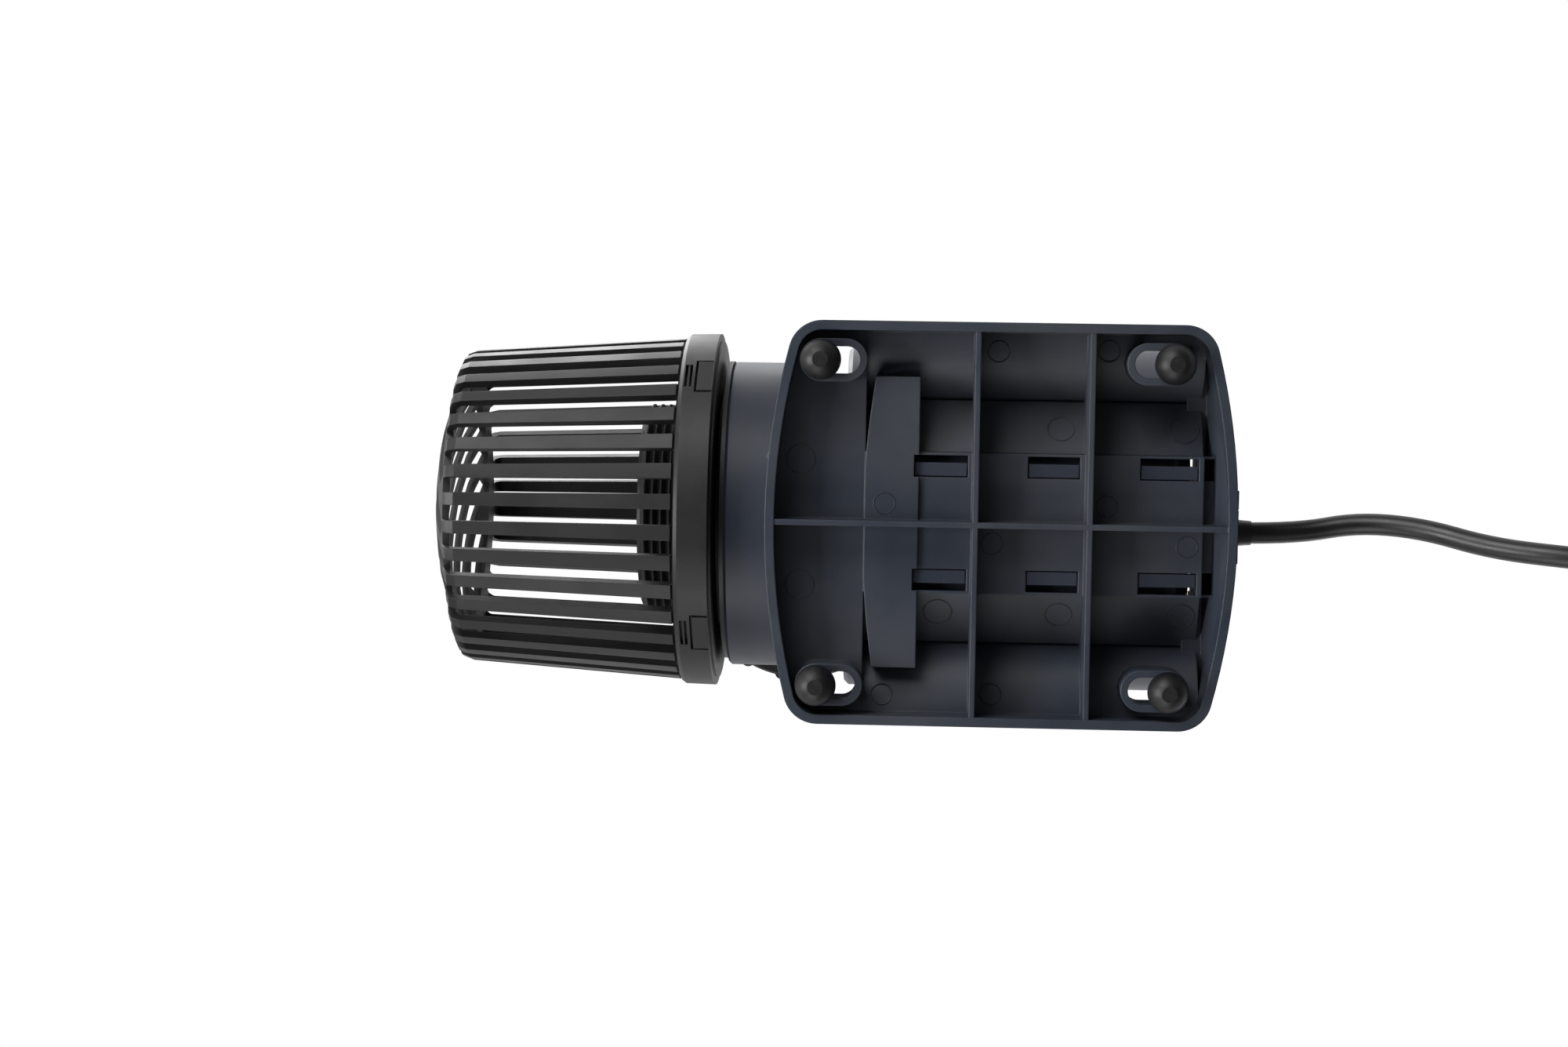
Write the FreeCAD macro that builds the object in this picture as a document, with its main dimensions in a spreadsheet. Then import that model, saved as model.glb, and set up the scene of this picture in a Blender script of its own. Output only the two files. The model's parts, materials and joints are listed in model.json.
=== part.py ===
"""Submersible aquarium circulation pump on a clip-on base plate.

Frame: millimetres, +Z up. The pump stands on four rubber feet at Z = 0. The pump axis runs along X,
the strainer points to -X and the cable leaves towards +X. The origin is the middle of the pump's
footprint, on the surface it stands on.
"""
import FreeCAD, Part
import math
import os
import Sketcher

Vector = FreeCAD.Vector
doc = FreeCAD.newDocument("CirculationPump")

# --------------------------------------------------------------------------------------------------
# Driving dimensions: alias, value in millimetres (or a plain number), what it is
# --------------------------------------------------------------------------------------------------
DRIVING_DIMENSIONS = [
    ("overall_length", 227.5, "strainer tip to end of the cable boot"),
    ("axis_height", 66.0, "pump axis above the floor"),
    ("rim_height", 6.0, "lower rim of the base plate above the floor"),
    ("casing_shift", 1.0, "sideways offset of volute and motor shells from the pump axis"),
    ("feet_middle", 42.75, "X of the middle of the four feet"),
    # strainer
    ("cage_length", 71.1, "strainer tip to the collar's front edge"),
    ("cage_root_radius", 48.5, "cage at the collar"),
    ("cage_end_radius", 44.4, "cage where its end corner starts"),
    ("cage_corner_length", 11.0, "axial length of the cage's rounded end"),
    ("cage_face_radius", 35.0, "radius where the rounded corner meets the domed end"),
    ("cage_wall", 2.2, "cage wall"),
    ("cage_slot_width", 4.2, "width of one long slot"),
    ("cage_slot_count", 36, "long slots around the cage"),
    ("cage_slot_root", 0.5, "distance of the slots from the collar"),
    ("cage_hub_radius", 39.0, "the long slots stop here on the end face"),
    ("end_slat_pitch", 7.5, "pitch of the diagonal slots in the end face"),
    ("end_slat_gap", 5.2, "width of a diagonal slot"),
    ("end_grille_radius", 34.5, "radius of the diagonal grille"),
    ("end_slat_angle", 54.0, "tilt of the diagonal slots"),
    ("sleeve_length", 6.4, "cage sleeve inside the collar"),
    ("sleeve_radius", 47.9, "outside of the cage sleeve"),
    ("collar_length", 10.0, "strainer collar"),
    ("collar_radius", 50.0, "strainer collar outside"),
    ("collar_wall", 1.8, "strainer collar wall"),
    ("collar_web", 2.2, "web between the collar and its threaded hub"),
    ("collar_hub_radius", 34.0, "outside of the threaded hub"),
    ("collar_hub_length", 10.5, "length of the threaded hub"),
    ("collar_bore", 30.15, "threaded hub bore, over the thread crests"),
    ("clip_width", 13.2, "clip opening, around the collar"),
    ("clip_length", 4.8, "clip opening, along the collar"),
    ("clip_gap", 0.6, "gap around a clip tongue"),
    ("clip_start_angle", 40.0, "first clip opening around the pump axis"),
    ("latch_width", 9.2, "small latch slot, around the collar"),
    ("latch_length", 2.0, "small latch slot, along the collar"),
    # inlet cover
    ("gasket_outer", 33.4, "strainer gasket outside radius"),
    ("gasket_thickness", 1.2, "strainer gasket"),
    ("cover_gap", 1.8, "collar to inlet cover"),
    ("cover_rim", 1.3, "inlet cover rim in front of the volute"),
    ("cover_radius", 42.3, "inlet cover outside radius"),
    ("neck_radius", 28.3, "inlet neck"),
    ("thread_radius", 29.8, "inlet thread crest, G2"),
    ("thread_pitch", 2.309, "11 threads per inch"),
    ("thread_turns", 8, "thread ridges on the spigot"),
    ("inlet_bore", 25.5, "inlet bore"),
    ("cover_plug_length", 5.0, "inlet cover inside the volute"),
    ("cover_plug_radius", 38.4, "inlet cover inside the volute"),
    # volute
    ("volute_length", 25.0, "volute shell"),
    ("volute_radius", 43.1, "volute shell outside"),
    ("volute_wall", 3.0, "volute shell wall"),
    ("neck_length", 7.2, "narrow rear neck of the volute"),
    ("rear_neck_radius", 38.5, "narrow rear neck of the volute"),
    ("rear_neck_bore", 34.0, "bore of the rear neck"),
    ("outlet_x", -11.75, "X of the outlet axis"),
    ("outlet_y", 20.9, "Y of the outlet axis, tangential to the volute"),
    ("throat_height", 50.0, "top of the square throat above the pump axis"),
    ("outlet_flange", 2.4, "flange under the outlet thread"),
    ("outlet_flange_radius", 25.0, "flange under the outlet thread"),
    ("outlet_radius", 23.9, "outlet thread crest, G1 1/2"),
    ("outlet_thread", 16.6, "length of the outlet thread"),
    ("outlet_bore", 19.0, "outlet bore"),
    # outlet union
    ("nut_radius", 34.3, "over the nut's grip ribs"),
    ("nut_body_radius", 33.1, "between the nut's grip ribs"),
    ("nut_height", 23.0, "union nut"),
    ("nut_bore", 24.3, "nut bore over the outlet thread"),
    ("nut_lip", 2.8, "nut lip over the hose tail"),
    ("nut_rib_count", 18, "grip ribs"),
    ("nut_rib_width", 4.4, "width of a grip rib"),
    ("tail_bore", 14.5, "hose tail bore"),
    ("tail_radius", 17.4, "hose tail outside"),
    ("tail_barb", 18.8, "hose tail barb radius"),
    ("tail_length", 34.0, "hose tail above the nut"),
    ("tail_flange", 2.4, "hose tail flange"),
    # motor
    ("housing_front", 3.05, "X of the motor housing's front face"),
    ("housing_length", 87.5, "motor housing"),
    ("housing_radius", 48.1, "motor housing outside"),
    ("housing_wall", 2.8, "motor housing wall"),
    ("cap_length", 5.0, "rear cap"),
    ("cap_plug", 3.4, "rear cap inside the housing"),
    ("screw_circle", 42.4, "radius of the cap screws' circle"),
    ("can_radius", 17.5, "rotor can outside"),
    ("can_bore", 15.9, "rotor can bore"),
    ("can_length", 44.0, "rotor can behind its flange, to its blind end"),
    ("magnet_radius", 15.0, "rotor magnet"),
    ("magnet_bore", 7.0, "rotor magnet bore"),
    ("magnet_length", 34.0, "rotor magnet"),
    ("shaft_radius", 2.5, "ceramic shaft"),
    ("shaft_clearance", 0.04, "running clearance of the shaft in its bushes"),
    ("bush_radius", 4.5, "bearing bush outside"),
    ("bush_length", 4.0, "bearing bush"),
    ("seat_radius", 5.9, "rubber bearing seat outside"),
    ("impeller_radius", 30.0, "impeller"),
    ("impeller_height", 12.0, "vane height"),
    ("vane_count", 6, "impeller vanes"),
    ("vane_thickness", 2.0, "impeller vane"),
    ("stator_radius", 38.0, "stator core outside"),
    ("stator_bore", 17.9, "stator core bore"),
    ("stator_length", 26.0, "stator core"),
    ("tooth_count", 6, "stator teeth"),
    ("tooth_width", 8.0, "stator tooth"),
    ("board_radius", 40.0, "driver board"),
    # base plate
    ("plate_middle", 44.3, "X of the middle of the base plate"),
    ("plate_length", 123.7, "base plate over its bowed ends"),
    ("plate_width", 106.2, "base plate across"),
    ("plate_bow", 185.0, "radius of the bowed ends"),
    ("plate_corner", 9.0, "corner radius"),
    ("plate_wall", 2.5, "rim wall"),
    ("deck_thickness", 2.2, "deck of the base plate"),
    ("deck_depth", 10.0, "front deck above the rim"),
    ("strip_depth", 9.0, "central strip above the rim"),
    ("strip_half_width", 18.7, "central strip"),
    ("cradle_edge", 32.5, "half width at the cradle's ridge"),
    ("rib_width", 1.5, "stiffening ribs"),
    ("front_rib", -5.0, "first cross rib from the middle of the feet"),
    ("rear_rib", 24.9, "second cross rib from the middle of the feet"),
    ("slot_spacing_along", 85.6, "mounting slots along X"),
    ("slot_spacing_across", 85.6, "mounting slots along Y"),
    ("slot_half_width", 3.6, "mounting slot"),
    ("slot_length", 13.9, "mounting slot end to end"),
    ("boss_wall", 1.95, "raised ring around a mounting slot"),
    ("boss_depth", 1.2, "face of the raised ring above the rim"),
    ("window_inner", 12.2, "inner edge of the hook windows"),
    ("window_outer", 18.0, "outer edge of the hook windows"),
    ("tongue_outer", 16.0, "outer side of the hook tongues"),
    ("foot_radius", 5.4, "rubber ball foot"),
    ("foot_middle", 5.0, "height of the ball's centre"),
    # cable
    ("cord_diameter", 5.9, "cable"),
    ("gland_y", 2.5, "Y of the cable exit"),
    ("gland_z", 39.0, "height of the cable exit"),
    ("gland_radius", 7.4, "gland nut across its corners"),
    ("gland_seat", 3.5, "raised seat of the gland on the rear cap"),
    ("gland_length", 9.65, "gland nut"),
    ("boot_radius", 3.7, "cable boot at the gland"),
    ("boot_end_radius", 3.3, "cable boot at its tip"),
    ("coil_x", 233.5, "X of the coil's middle"),
    ("coil_y", -26.6, "Y of the coil's middle"),
    ("coil_inner", 25.0, "inner radius of the coil"),
    ("coil_outer", 37.2, "outer radius of the coil"),
    ("coil_height", 23.8, "height of the coil"),
]


class Size:
    """A dimension that carries both its value and its spreadsheet expression."""

    def __init__(self, value, text=None):
        self.value = float(value)
        self.text = text or repr(float(value))

    @staticmethod
    def of(other):
        return other if isinstance(other, Size) else Size(other)

    def __add__(self, other):
        other = Size.of(other)
        return Size(self.value + other.value, f"({self.text} + {other.text})")

    def __sub__(self, other):
        other = Size.of(other)
        return Size(self.value - other.value, f"({self.text} - {other.text})")

    def __mul__(self, other):
        other = Size.of(other)
        return Size(self.value * other.value, f"({self.text} * {other.text})")

    def __truediv__(self, other):
        other = Size.of(other)
        return Size(self.value / other.value, f"({self.text} / {other.text})")

    def __neg__(self):
        return Size(-self.value, f"(0 - {self.text})")

    __radd__ = __add__

    def __rsub__(self, other):
        return Size.of(other) - self

    __rmul__ = __mul__


def make_sheet():
    """Write the driving dimensions to a spreadsheet and return them as sizes by name."""
    sheet = doc.addObject("Spreadsheet::Sheet", "Dims")
    sizes = {}
    for row, (alias, value, meaning) in enumerate(DRIVING_DIMENSIONS, start=1):
        sheet.set(f"A{row}", meaning)
        sheet.set(f"B{row}", str(value))
        sheet.setAlias(f"B{row}", alias)
        sizes[alias] = Size(value, f"Dims.{alias}")
    return sizes


D = make_sheet()
doc.recompute()
NODES = []

# --------------------------------------------------------------------------------------------------
# Stations along the pump axis
# --------------------------------------------------------------------------------------------------
TIP = -(D["overall_length"] / 2)
COLLAR_FRONT = TIP + D["cage_length"]
COLLAR_REAR = COLLAR_FRONT + D["collar_length"]
COVER_FRONT = COLLAR_REAR + D["cover_gap"]
VOLUTE_FRONT = COVER_FRONT + D["cover_rim"]
VOLUTE_REAR = VOLUTE_FRONT + D["volute_length"]
NECK_REAR = VOLUTE_REAR + D["neck_length"]
HOUSING_FRONT = D["housing_front"]
HOUSING_REAR = HOUSING_FRONT + D["housing_length"]
CAP_REAR = HOUSING_REAR + D["cap_length"]
AXIS = D["axis_height"]
SHIFT = D["casing_shift"]
RIM = D["rim_height"]
CAN_FACE = VOLUTE_REAR - 2.5
CAN_END = CAN_FACE + D["can_length"] + 8.0
MAGNET_FRONT = CAN_FACE + 7.5


# --------------------------------------------------------------------------------------------------
# Building helpers
# --------------------------------------------------------------------------------------------------
def bind(thing, **sizes):
    """Bind properties of an object to spreadsheet expressions."""
    for name, size in sizes.items():
        thing.setExpression(name, Size.of(size).text)


def place(thing, x=0, y=0, z=0, rotation=None):
    """Bind an object's position, with a fixed rotation."""
    sizes = [Size.of(value) for value in (x, y, z)]
    thing.Placement = FreeCAD.Placement(Vector(*[s.value for s in sizes]), rotation or FreeCAD.Rotation())
    for axis, size in zip("xyz", sizes):
        thing.setExpression(f".Placement.Base.{axis}", size.text)
    return thing


def keep(thing, label):
    """Name an object as one of the pump's sub-parts."""
    thing.Label = label
    NODES.append(thing)
    return thing


def outline(body, name, plane, points):
    """Draw a closed outline of straight lines whose corners are bound to the sheet."""
    sketch = body.newObject("Sketcher::SketchObject", name)
    support = next(item for item in body.Origin.OriginFeatures if item.Role == plane)
    sketch.AttachmentSupport = [(support, "")]
    sketch.MapMode = "FlatFace"
    corners = [(Size.of(u), Size.of(v)) for u, v in points]
    count = len(corners)
    for index, (u, v) in enumerate(corners):
        after_u, after_v = corners[(index + 1) % count]
        start = Vector(u.value, v.value, 0)
        sketch.addGeometry(Part.LineSegment(start, Vector(after_u.value, after_v.value, 0)))
    for index in range(count):
        following = (index + 1) % count
        sketch.addConstraint(Sketcher.Constraint("Coincident", index, 2, following, 1))
    for index, (u, v) in enumerate(corners):
        for kind, size in (("DistanceX", u), ("DistanceY", v)):
            number = sketch.addConstraint(Sketcher.Constraint(kind, -1, 1, index, 1, size.value))
            sketch.setExpression(f"Constraints[{number}]", size.text)
    return sketch


def turned(name, profile, x=0, y=0, z=0, axis="X"):
    """A solid of revolution; the profile is (along, radius) pairs and the axis is X or Z."""
    body = doc.addObject("PartDesign::Body", name)
    points = profile if axis == "X" else [(radius, along) for along, radius in profile]
    sketch = outline(body, name + "_outline", "XZ_Plane", points)
    revolution = body.newObject("PartDesign::Revolution", name + "_turned")
    revolution.Profile = sketch
    revolution.ReferenceAxis = (sketch, ["H_Axis" if axis == "X" else "V_Axis"])
    revolution.Angle = 360.0
    sketch.Visibility = False
    return place(body, x, y, z)


def ring(name, start, end, outer, inner, y=0, z=AXIS):
    """A plain ring or tube along X."""
    return turned(name, [(start, inner), (end, inner), (end, outer), (start, outer)], y=y, z=z)


def box(name, low, high):
    """A box between two corners."""
    low = [Size.of(value) for value in low]
    high = [Size.of(value) for value in high]
    solid = doc.addObject("Part::Box", name)
    bind(solid, Length=high[0] - low[0], Width=high[1] - low[1], Height=high[2] - low[2])
    return place(solid, *low)


def rod(name, radius, length, x=0, y=0, z=0, axis="Z"):
    """A cylinder that starts at a point and runs along X or Z."""
    solid = doc.addObject("Part::Cylinder", name)
    bind(solid, Radius=radius, Height=length)
    turn = FreeCAD.Rotation(Vector(0, 1, 0), 90) if axis == "X" else FreeCAD.Rotation()
    return place(solid, x, y, z, turn)


def torus(name, ring_radius, section_radius, x, y, z, axis="X"):
    """A sealing ring around X or Z."""
    solid = doc.addObject("Part::Torus", name)
    bind(solid, Radius1=ring_radius, Radius2=section_radius)
    turn = FreeCAD.Rotation(Vector(0, 1, 0), 90) if axis == "X" else FreeCAD.Rotation()
    return place(solid, x, y, z, turn)


def fuse(name, *solids):
    """Join solids into one."""
    joined = doc.addObject("Part::MultiFuse", name)
    joined.Shapes = list(solids)
    joined.Refine = True
    return joined


def cut(name, base, *tools):
    """Cut one or several tools from a base."""
    removed = doc.addObject("Part::Cut", name)
    removed.Base = base
    removed.Tool = tools[0] if len(tools) == 1 else fuse(name + "_tools", *tools)
    return removed


def group(name, solids):
    """Several separate solids as one sub-part."""
    together = doc.addObject("Part::Compound", name)
    together.Links = list(solids)
    return together


# --------------------------------------------------------------------------------------------------
# Strainer
# --------------------------------------------------------------------------------------------------
def radial_slab(name, width, start, length, inner, depth, angle, y=0):
    """A box that points outwards from the pump axis, for slots and clip openings."""
    slab = doc.addObject("Part::Box", name)
    width = Size.of(width)
    bind(slab, Length=length, Width=width, Height=depth)
    turn = FreeCAD.Rotation(Vector(1, 0, 0), angle)
    inner = Size.of(inner)
    sine, cosine = math.sin(math.radians(angle)), math.cos(math.radians(angle))
    across = Size.of(y) - inner * sine - width * (cosine / 2)
    up = AXIS + inner * cosine - width * (sine / 2)
    return place(slab, start, across, up, turn)


def strainer_cage():
    """Slotted cup with a domed end; its long slots bend round the end corner."""
    wall = D["cage_wall"]
    corner = TIP + D["cage_corner_length"]
    face, rim = TIP + 6.6, D["cage_face_radius"]
    root, end = D["cage_root_radius"], D["cage_end_radius"]
    shell = turned("cage_shell", [
        (TIP, 0), (TIP + 1.2, 15), (TIP + 3.4, 26), (face, rim), (face + 1.0, rim + 6.4),
        (face + 2.0, end - 0.9), (corner, end), (COLLAR_FRONT - 0.8, root),
        (COLLAR_FRONT - 0.3, D["sleeve_radius"]), (COLLAR_FRONT + D["sleeve_length"], D["sleeve_radius"]),
        (COLLAR_FRONT + D["sleeve_length"], D["sleeve_radius"] - wall),
        (COLLAR_FRONT - 1.2, root - wall - 0.4), (corner, end - wall), (face + 3.8, end - wall - 0.3),
        (face + 2.8, end - wall - 1.6), (face + 1.8, rim - 0.6), (TIP + 4.7, 25.6), (TIP + 2.5, 14.8),
        (TIP + 1.3, 0)], z=AXIS)
    slots = []
    count = int(D["cage_slot_count"].value)
    length = D["cage_length"] - D["cage_slot_root"] + 5.0
    for index in range(count):
        angle = index * 360.0 / count
        slots.append(radial_slab(f"cage_slot_{index}", D["cage_slot_width"], TIP - 5.0, length,
                                 D["cage_hub_radius"], 15.0, angle))
    slats = []
    pitch, gap, reach = D["end_slat_pitch"], D["end_slat_gap"], D["end_grille_radius"]
    tilt = math.radians(D["end_slat_angle"].value)
    turn = FreeCAD.Rotation(Vector(1, 0, 0), D["end_slat_angle"].value)
    for index in range(-4, 5):
        offset = index * pitch.value
        half = math.sqrt(max(reach.value ** 2 - (abs(offset) + gap.value / 2) ** 2, 0))
        slat = doc.addObject("Part::Box", f"end_slot_{index + 4}")
        bind(slat, Length=16, Width=gap, Height=2 * half)
        low_y, low_z = offset - gap.value / 2, -half
        shifted_y = low_y * math.cos(tilt) - low_z * math.sin(tilt)
        shifted_z = low_y * math.sin(tilt) + low_z * math.cos(tilt)
        slats.append(place(slat, TIP - 4.0, shifted_y, AXIS + shifted_z, turn))
    keep(cut("strainer_cage", shell, group("cage_openings", slots + slats)), "strainer_cage")


def strainer_collar():
    """Ring that holds the cage by four clips and screws on the inlet thread."""
    outer, wall = D["collar_radius"], D["collar_wall"]
    web = COLLAR_REAR - D["collar_web"]
    hub_front = COLLAR_REAR - D["collar_hub_length"]
    back = COLLAR_REAR - 0.8
    blank = turned("collar_blank", [
        (COLLAR_FRONT, outer - wall), (COLLAR_FRONT, outer - 0.9), (COLLAR_FRONT + 1.0, outer - 0.2),
        (back, outer), (back, outer - 2.2), (COLLAR_REAR, outer - 2.2), (COLLAR_REAR, D["collar_bore"]),
        (hub_front, D["collar_bore"]), (hub_front, D["collar_hub_radius"]), (web, D["collar_hub_radius"]),
        (web, outer - wall)], z=AXIS)
    openings, tongues = [], []
    clip_front = COLLAR_FRONT + 4.2
    for index in range(4):
        angle = D["clip_start_angle"].value + 90.0 * index
        openings.append(radial_slab(f"clip_opening_{index}", D["clip_width"], clip_front,
                                    D["clip_length"], outer - 3.0, 5.0, angle))
        openings.append(radial_slab(f"latch_slot_{index}", D["latch_width"], COLLAR_FRONT + 1.4,
                                    D["latch_length"], outer - 3.0, 5.0, angle))
        tongues.append(radial_slab(f"clip_tongue_{index}", D["clip_width"] - 2 * D["clip_gap"],
                                   clip_front + D["clip_gap"], D["clip_length"] - D["clip_gap"] + 0.1,
                                   outer - wall, wall - 0.35, angle))
        tongues.append(radial_slab(f"latch_tongue_{index}", D["latch_width"] + 0.6, COLLAR_FRONT + 2.1, 0.6,
                                   outer - wall, wall - 0.5, angle))
    opened = cut("collar_opened", blank, group("collar_openings", openings))
    keep(fuse("strainer_collar", opened, *tongues), "strainer_collar")
    gasket_rear = COLLAR_REAR + 0.3 + D["gasket_thickness"]
    keep(ring("strainer_gasket", COLLAR_REAR + 0.3, gasket_rear, D["gasket_outer"], D["collar_bore"]),
         "strainer_gasket")


# --------------------------------------------------------------------------------------------------
# Inlet cover and volute
# --------------------------------------------------------------------------------------------------
def inlet_cover():
    """Black front cover: threaded spigot, neck, rim and plug, with the front bearing's spider inside."""
    thread_rear = COLLAR_REAR - 2.4
    thread_front = thread_rear - D["thread_pitch"] * D["thread_turns"]
    bore, neck = D["inlet_bore"], D["neck_radius"]
    plug_rear = VOLUTE_FRONT + D["cover_plug_length"]
    profile = [(plug_rear, bore), (thread_front - 1.0, bore), (thread_front - 1.0, neck - 0.6)]
    for turn_number in range(int(D["thread_turns"].value)):
        start = thread_front + D["thread_pitch"] * turn_number
        profile += [(start, neck), (start + 0.9, D["thread_radius"]), (start + 1.3, D["thread_radius"])]
    profile += [(thread_rear, neck), (COVER_FRONT, neck), (COVER_FRONT, D["cover_radius"]),
                (VOLUTE_FRONT, D["cover_radius"]), (VOLUTE_FRONT, D["cover_plug_radius"]),
                (plug_rear, D["cover_plug_radius"])]
    keep(turned("inlet_cover", profile, z=AXIS), "inlet_cover")
    hub_front, hub_rear = VOLUTE_FRONT - 1.0, VOLUTE_FRONT + 6.6
    hub = turned("cover_hub", [
        (hub_front - 3.0, 0), (hub_front, 5.0), (hub_front + 2.0, 8.0), (hub_rear, 8.0),
        (hub_rear, D["seat_radius"] + 0.05), (hub_front + 1.6, D["seat_radius"] + 0.05),
        (hub_front + 1.6, 0)], z=AXIS)
    arms = [radial_slab(f"spider_arm_{index}", 2.6, hub_front + 1.0, 4.0, 7.0, 20.0, 120.0 * index)
            for index in range(3)]
    reach = rod("spider_reach", bore - 0.02, 8.0, hub_front - 0.2, 0, AXIS, axis="X")
    trimmed = doc.addObject("Part::MultiCommon", "arms_trimmed")
    trimmed.Shapes = [fuse("arms_joined", *arms), reach]
    keep(fuse("cover_spider", hub, trimmed), "cover_spider")
    keep(torus("cover_seal", D["cover_plug_radius"] + 0.85, 0.78, VOLUTE_FRONT + 2.4, 0, AXIS),
         "cover_seal")
    seat_front = hub_front + 1.7
    bearing("front", seat_front, seat_front + 5.2, seat_front + 1.0)


def bearing(which, seat_start, seat_end, bush_start):
    """A ceramic bush in a rubber seat."""
    bore = D["shaft_radius"] + D["shaft_clearance"]
    inside = D["bush_radius"] + 0.05
    keep(ring(f"{which}_bearing", bush_start, bush_start + D["bush_length"], D["bush_radius"], bore),
         f"{which}_bearing")
    keep(ring(f"{which}_bearing_seat", seat_start, seat_end, D["seat_radius"], inside),
         f"{which}_bearing_seat")


def volute_shell():
    """Round pump chamber with a narrow rear neck and a tangential threaded outlet on top."""
    outer, wall = D["volute_radius"], D["volute_wall"]
    drum = turned("volute_drum", [
        (VOLUTE_FRONT, 0), (VOLUTE_FRONT, outer - 0.7), (VOLUTE_FRONT + 0.7, outer), (VOLUTE_REAR, outer),
        (VOLUTE_REAR, D["rear_neck_radius"]), (NECK_REAR, D["rear_neck_radius"]), (NECK_REAR, 0)],
        y=SHIFT, z=AXIS)
    side = SHIFT + outer
    throat_top = AXIS + D["throat_height"]
    throat = box("throat", (VOLUTE_FRONT + 1.0, -1.0, AXIS), (VOLUTE_REAR, side, throat_top))
    flange = rod("outlet_flange_disc", D["outlet_flange_radius"], D["outlet_flange"],
                 D["outlet_x"], D["outlet_y"], throat_top - 0.4)
    pipe = rod("outlet_pipe", D["outlet_radius"], D["outlet_thread"] + 0.4, D["outlet_x"], D["outlet_y"],
               throat_top + D["outlet_flange"] - 0.4)
    chamber = turned("volute_chamber", [
        (VOLUTE_FRONT - 1.0, 0), (VOLUTE_FRONT - 1.0, outer - wall), (VOLUTE_REAR - 2.5, outer - wall),
        (VOLUTE_REAR - 2.5, D["rear_neck_bore"]), (NECK_REAR + 1.0, D["rear_neck_bore"]),
        (NECK_REAR + 1.0, 0)], z=AXIS)
    channel = box("throat_channel", (VOLUTE_FRONT + 3.4, 1.5, AXIS),
                  (VOLUTE_REAR - 2.5, side - 2.5, throat_top + 0.5))
    bore = rod("outlet_bore_tool", D["outlet_bore"], D["outlet_thread"] + 8.0, D["outlet_x"],
               D["outlet_y"], throat_top - 0.2)
    solid = fuse("volute_solid", drum, throat, flange, pipe)
    keep(cut("volute_shell", solid, chamber, channel, bore), "volute_shell")


def outlet_union():
    """Union nut, hose tail and their seal on the outlet thread."""
    x, y = D["outlet_x"], D["outlet_y"]
    pipe_top = AXIS + D["throat_height"] + D["outlet_flange"] + D["outlet_thread"]
    nut_top = pipe_top + 1.5 + D["tail_flange"] + 0.3 + D["nut_lip"]
    nut_base = nut_top - D["nut_height"]
    body_radius = D["nut_body_radius"]
    lip = nut_top - D["nut_lip"]
    blank = turned("nut_blank", [
        (nut_base, D["nut_bore"]), (nut_base, body_radius - 0.6), (nut_base + 0.8, body_radius),
        (nut_top - 1.6, body_radius), (nut_top, body_radius - 1.6), (nut_top, D["tail_barb"] + 0.9),
        (lip, D["tail_barb"] + 0.9), (lip, D["nut_bore"])], x=x, y=y, axis="Z")
    ribs = []
    count = int(D["nut_rib_count"].value)
    for index in range(count):
        angle = math.radians(index * 360.0 / count)
        rib = doc.addObject("Part::Cylinder", f"nut_rib_{index}")
        bind(rib, Radius=D["nut_rib_width"] / 2, Height=D["nut_height"] - 3.4)
        reach = D["nut_radius"] - D["nut_rib_width"] / 2
        ribs.append(place(rib, x + reach * math.cos(angle), y + reach * math.sin(angle), nut_base + 0.8))
    keep(fuse("outlet_nut", blank, *ribs), "outlet_nut")
    flange = pipe_top + 1.5
    top = nut_top + D["tail_length"]
    profile = [(flange, D["tail_bore"]), (flange, D["outlet_radius"] - 0.4),
               (flange + D["tail_flange"], D["outlet_radius"] - 0.4), (flange + D["tail_flange"], D["tail_barb"]),
               (nut_top + 1.5, D["tail_barb"]), (nut_top + 1.5, D["tail_radius"])]
    for barb in range(3):
        base = nut_top + 9.0 + 7.0 * barb
        profile += [(base, D["tail_radius"]), (base, D["tail_barb"]), (base + 5.6, D["tail_radius"])]
    profile += [(top, D["tail_radius"]), (top, D["tail_bore"])]
    keep(turned("hose_tail", profile, x=x, y=y, axis="Z"), "hose_tail")
    keep(torus("outlet_seal", 21.4, 0.68, x, y, pipe_top + 0.74, axis="Z"), "outlet_seal")


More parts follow.
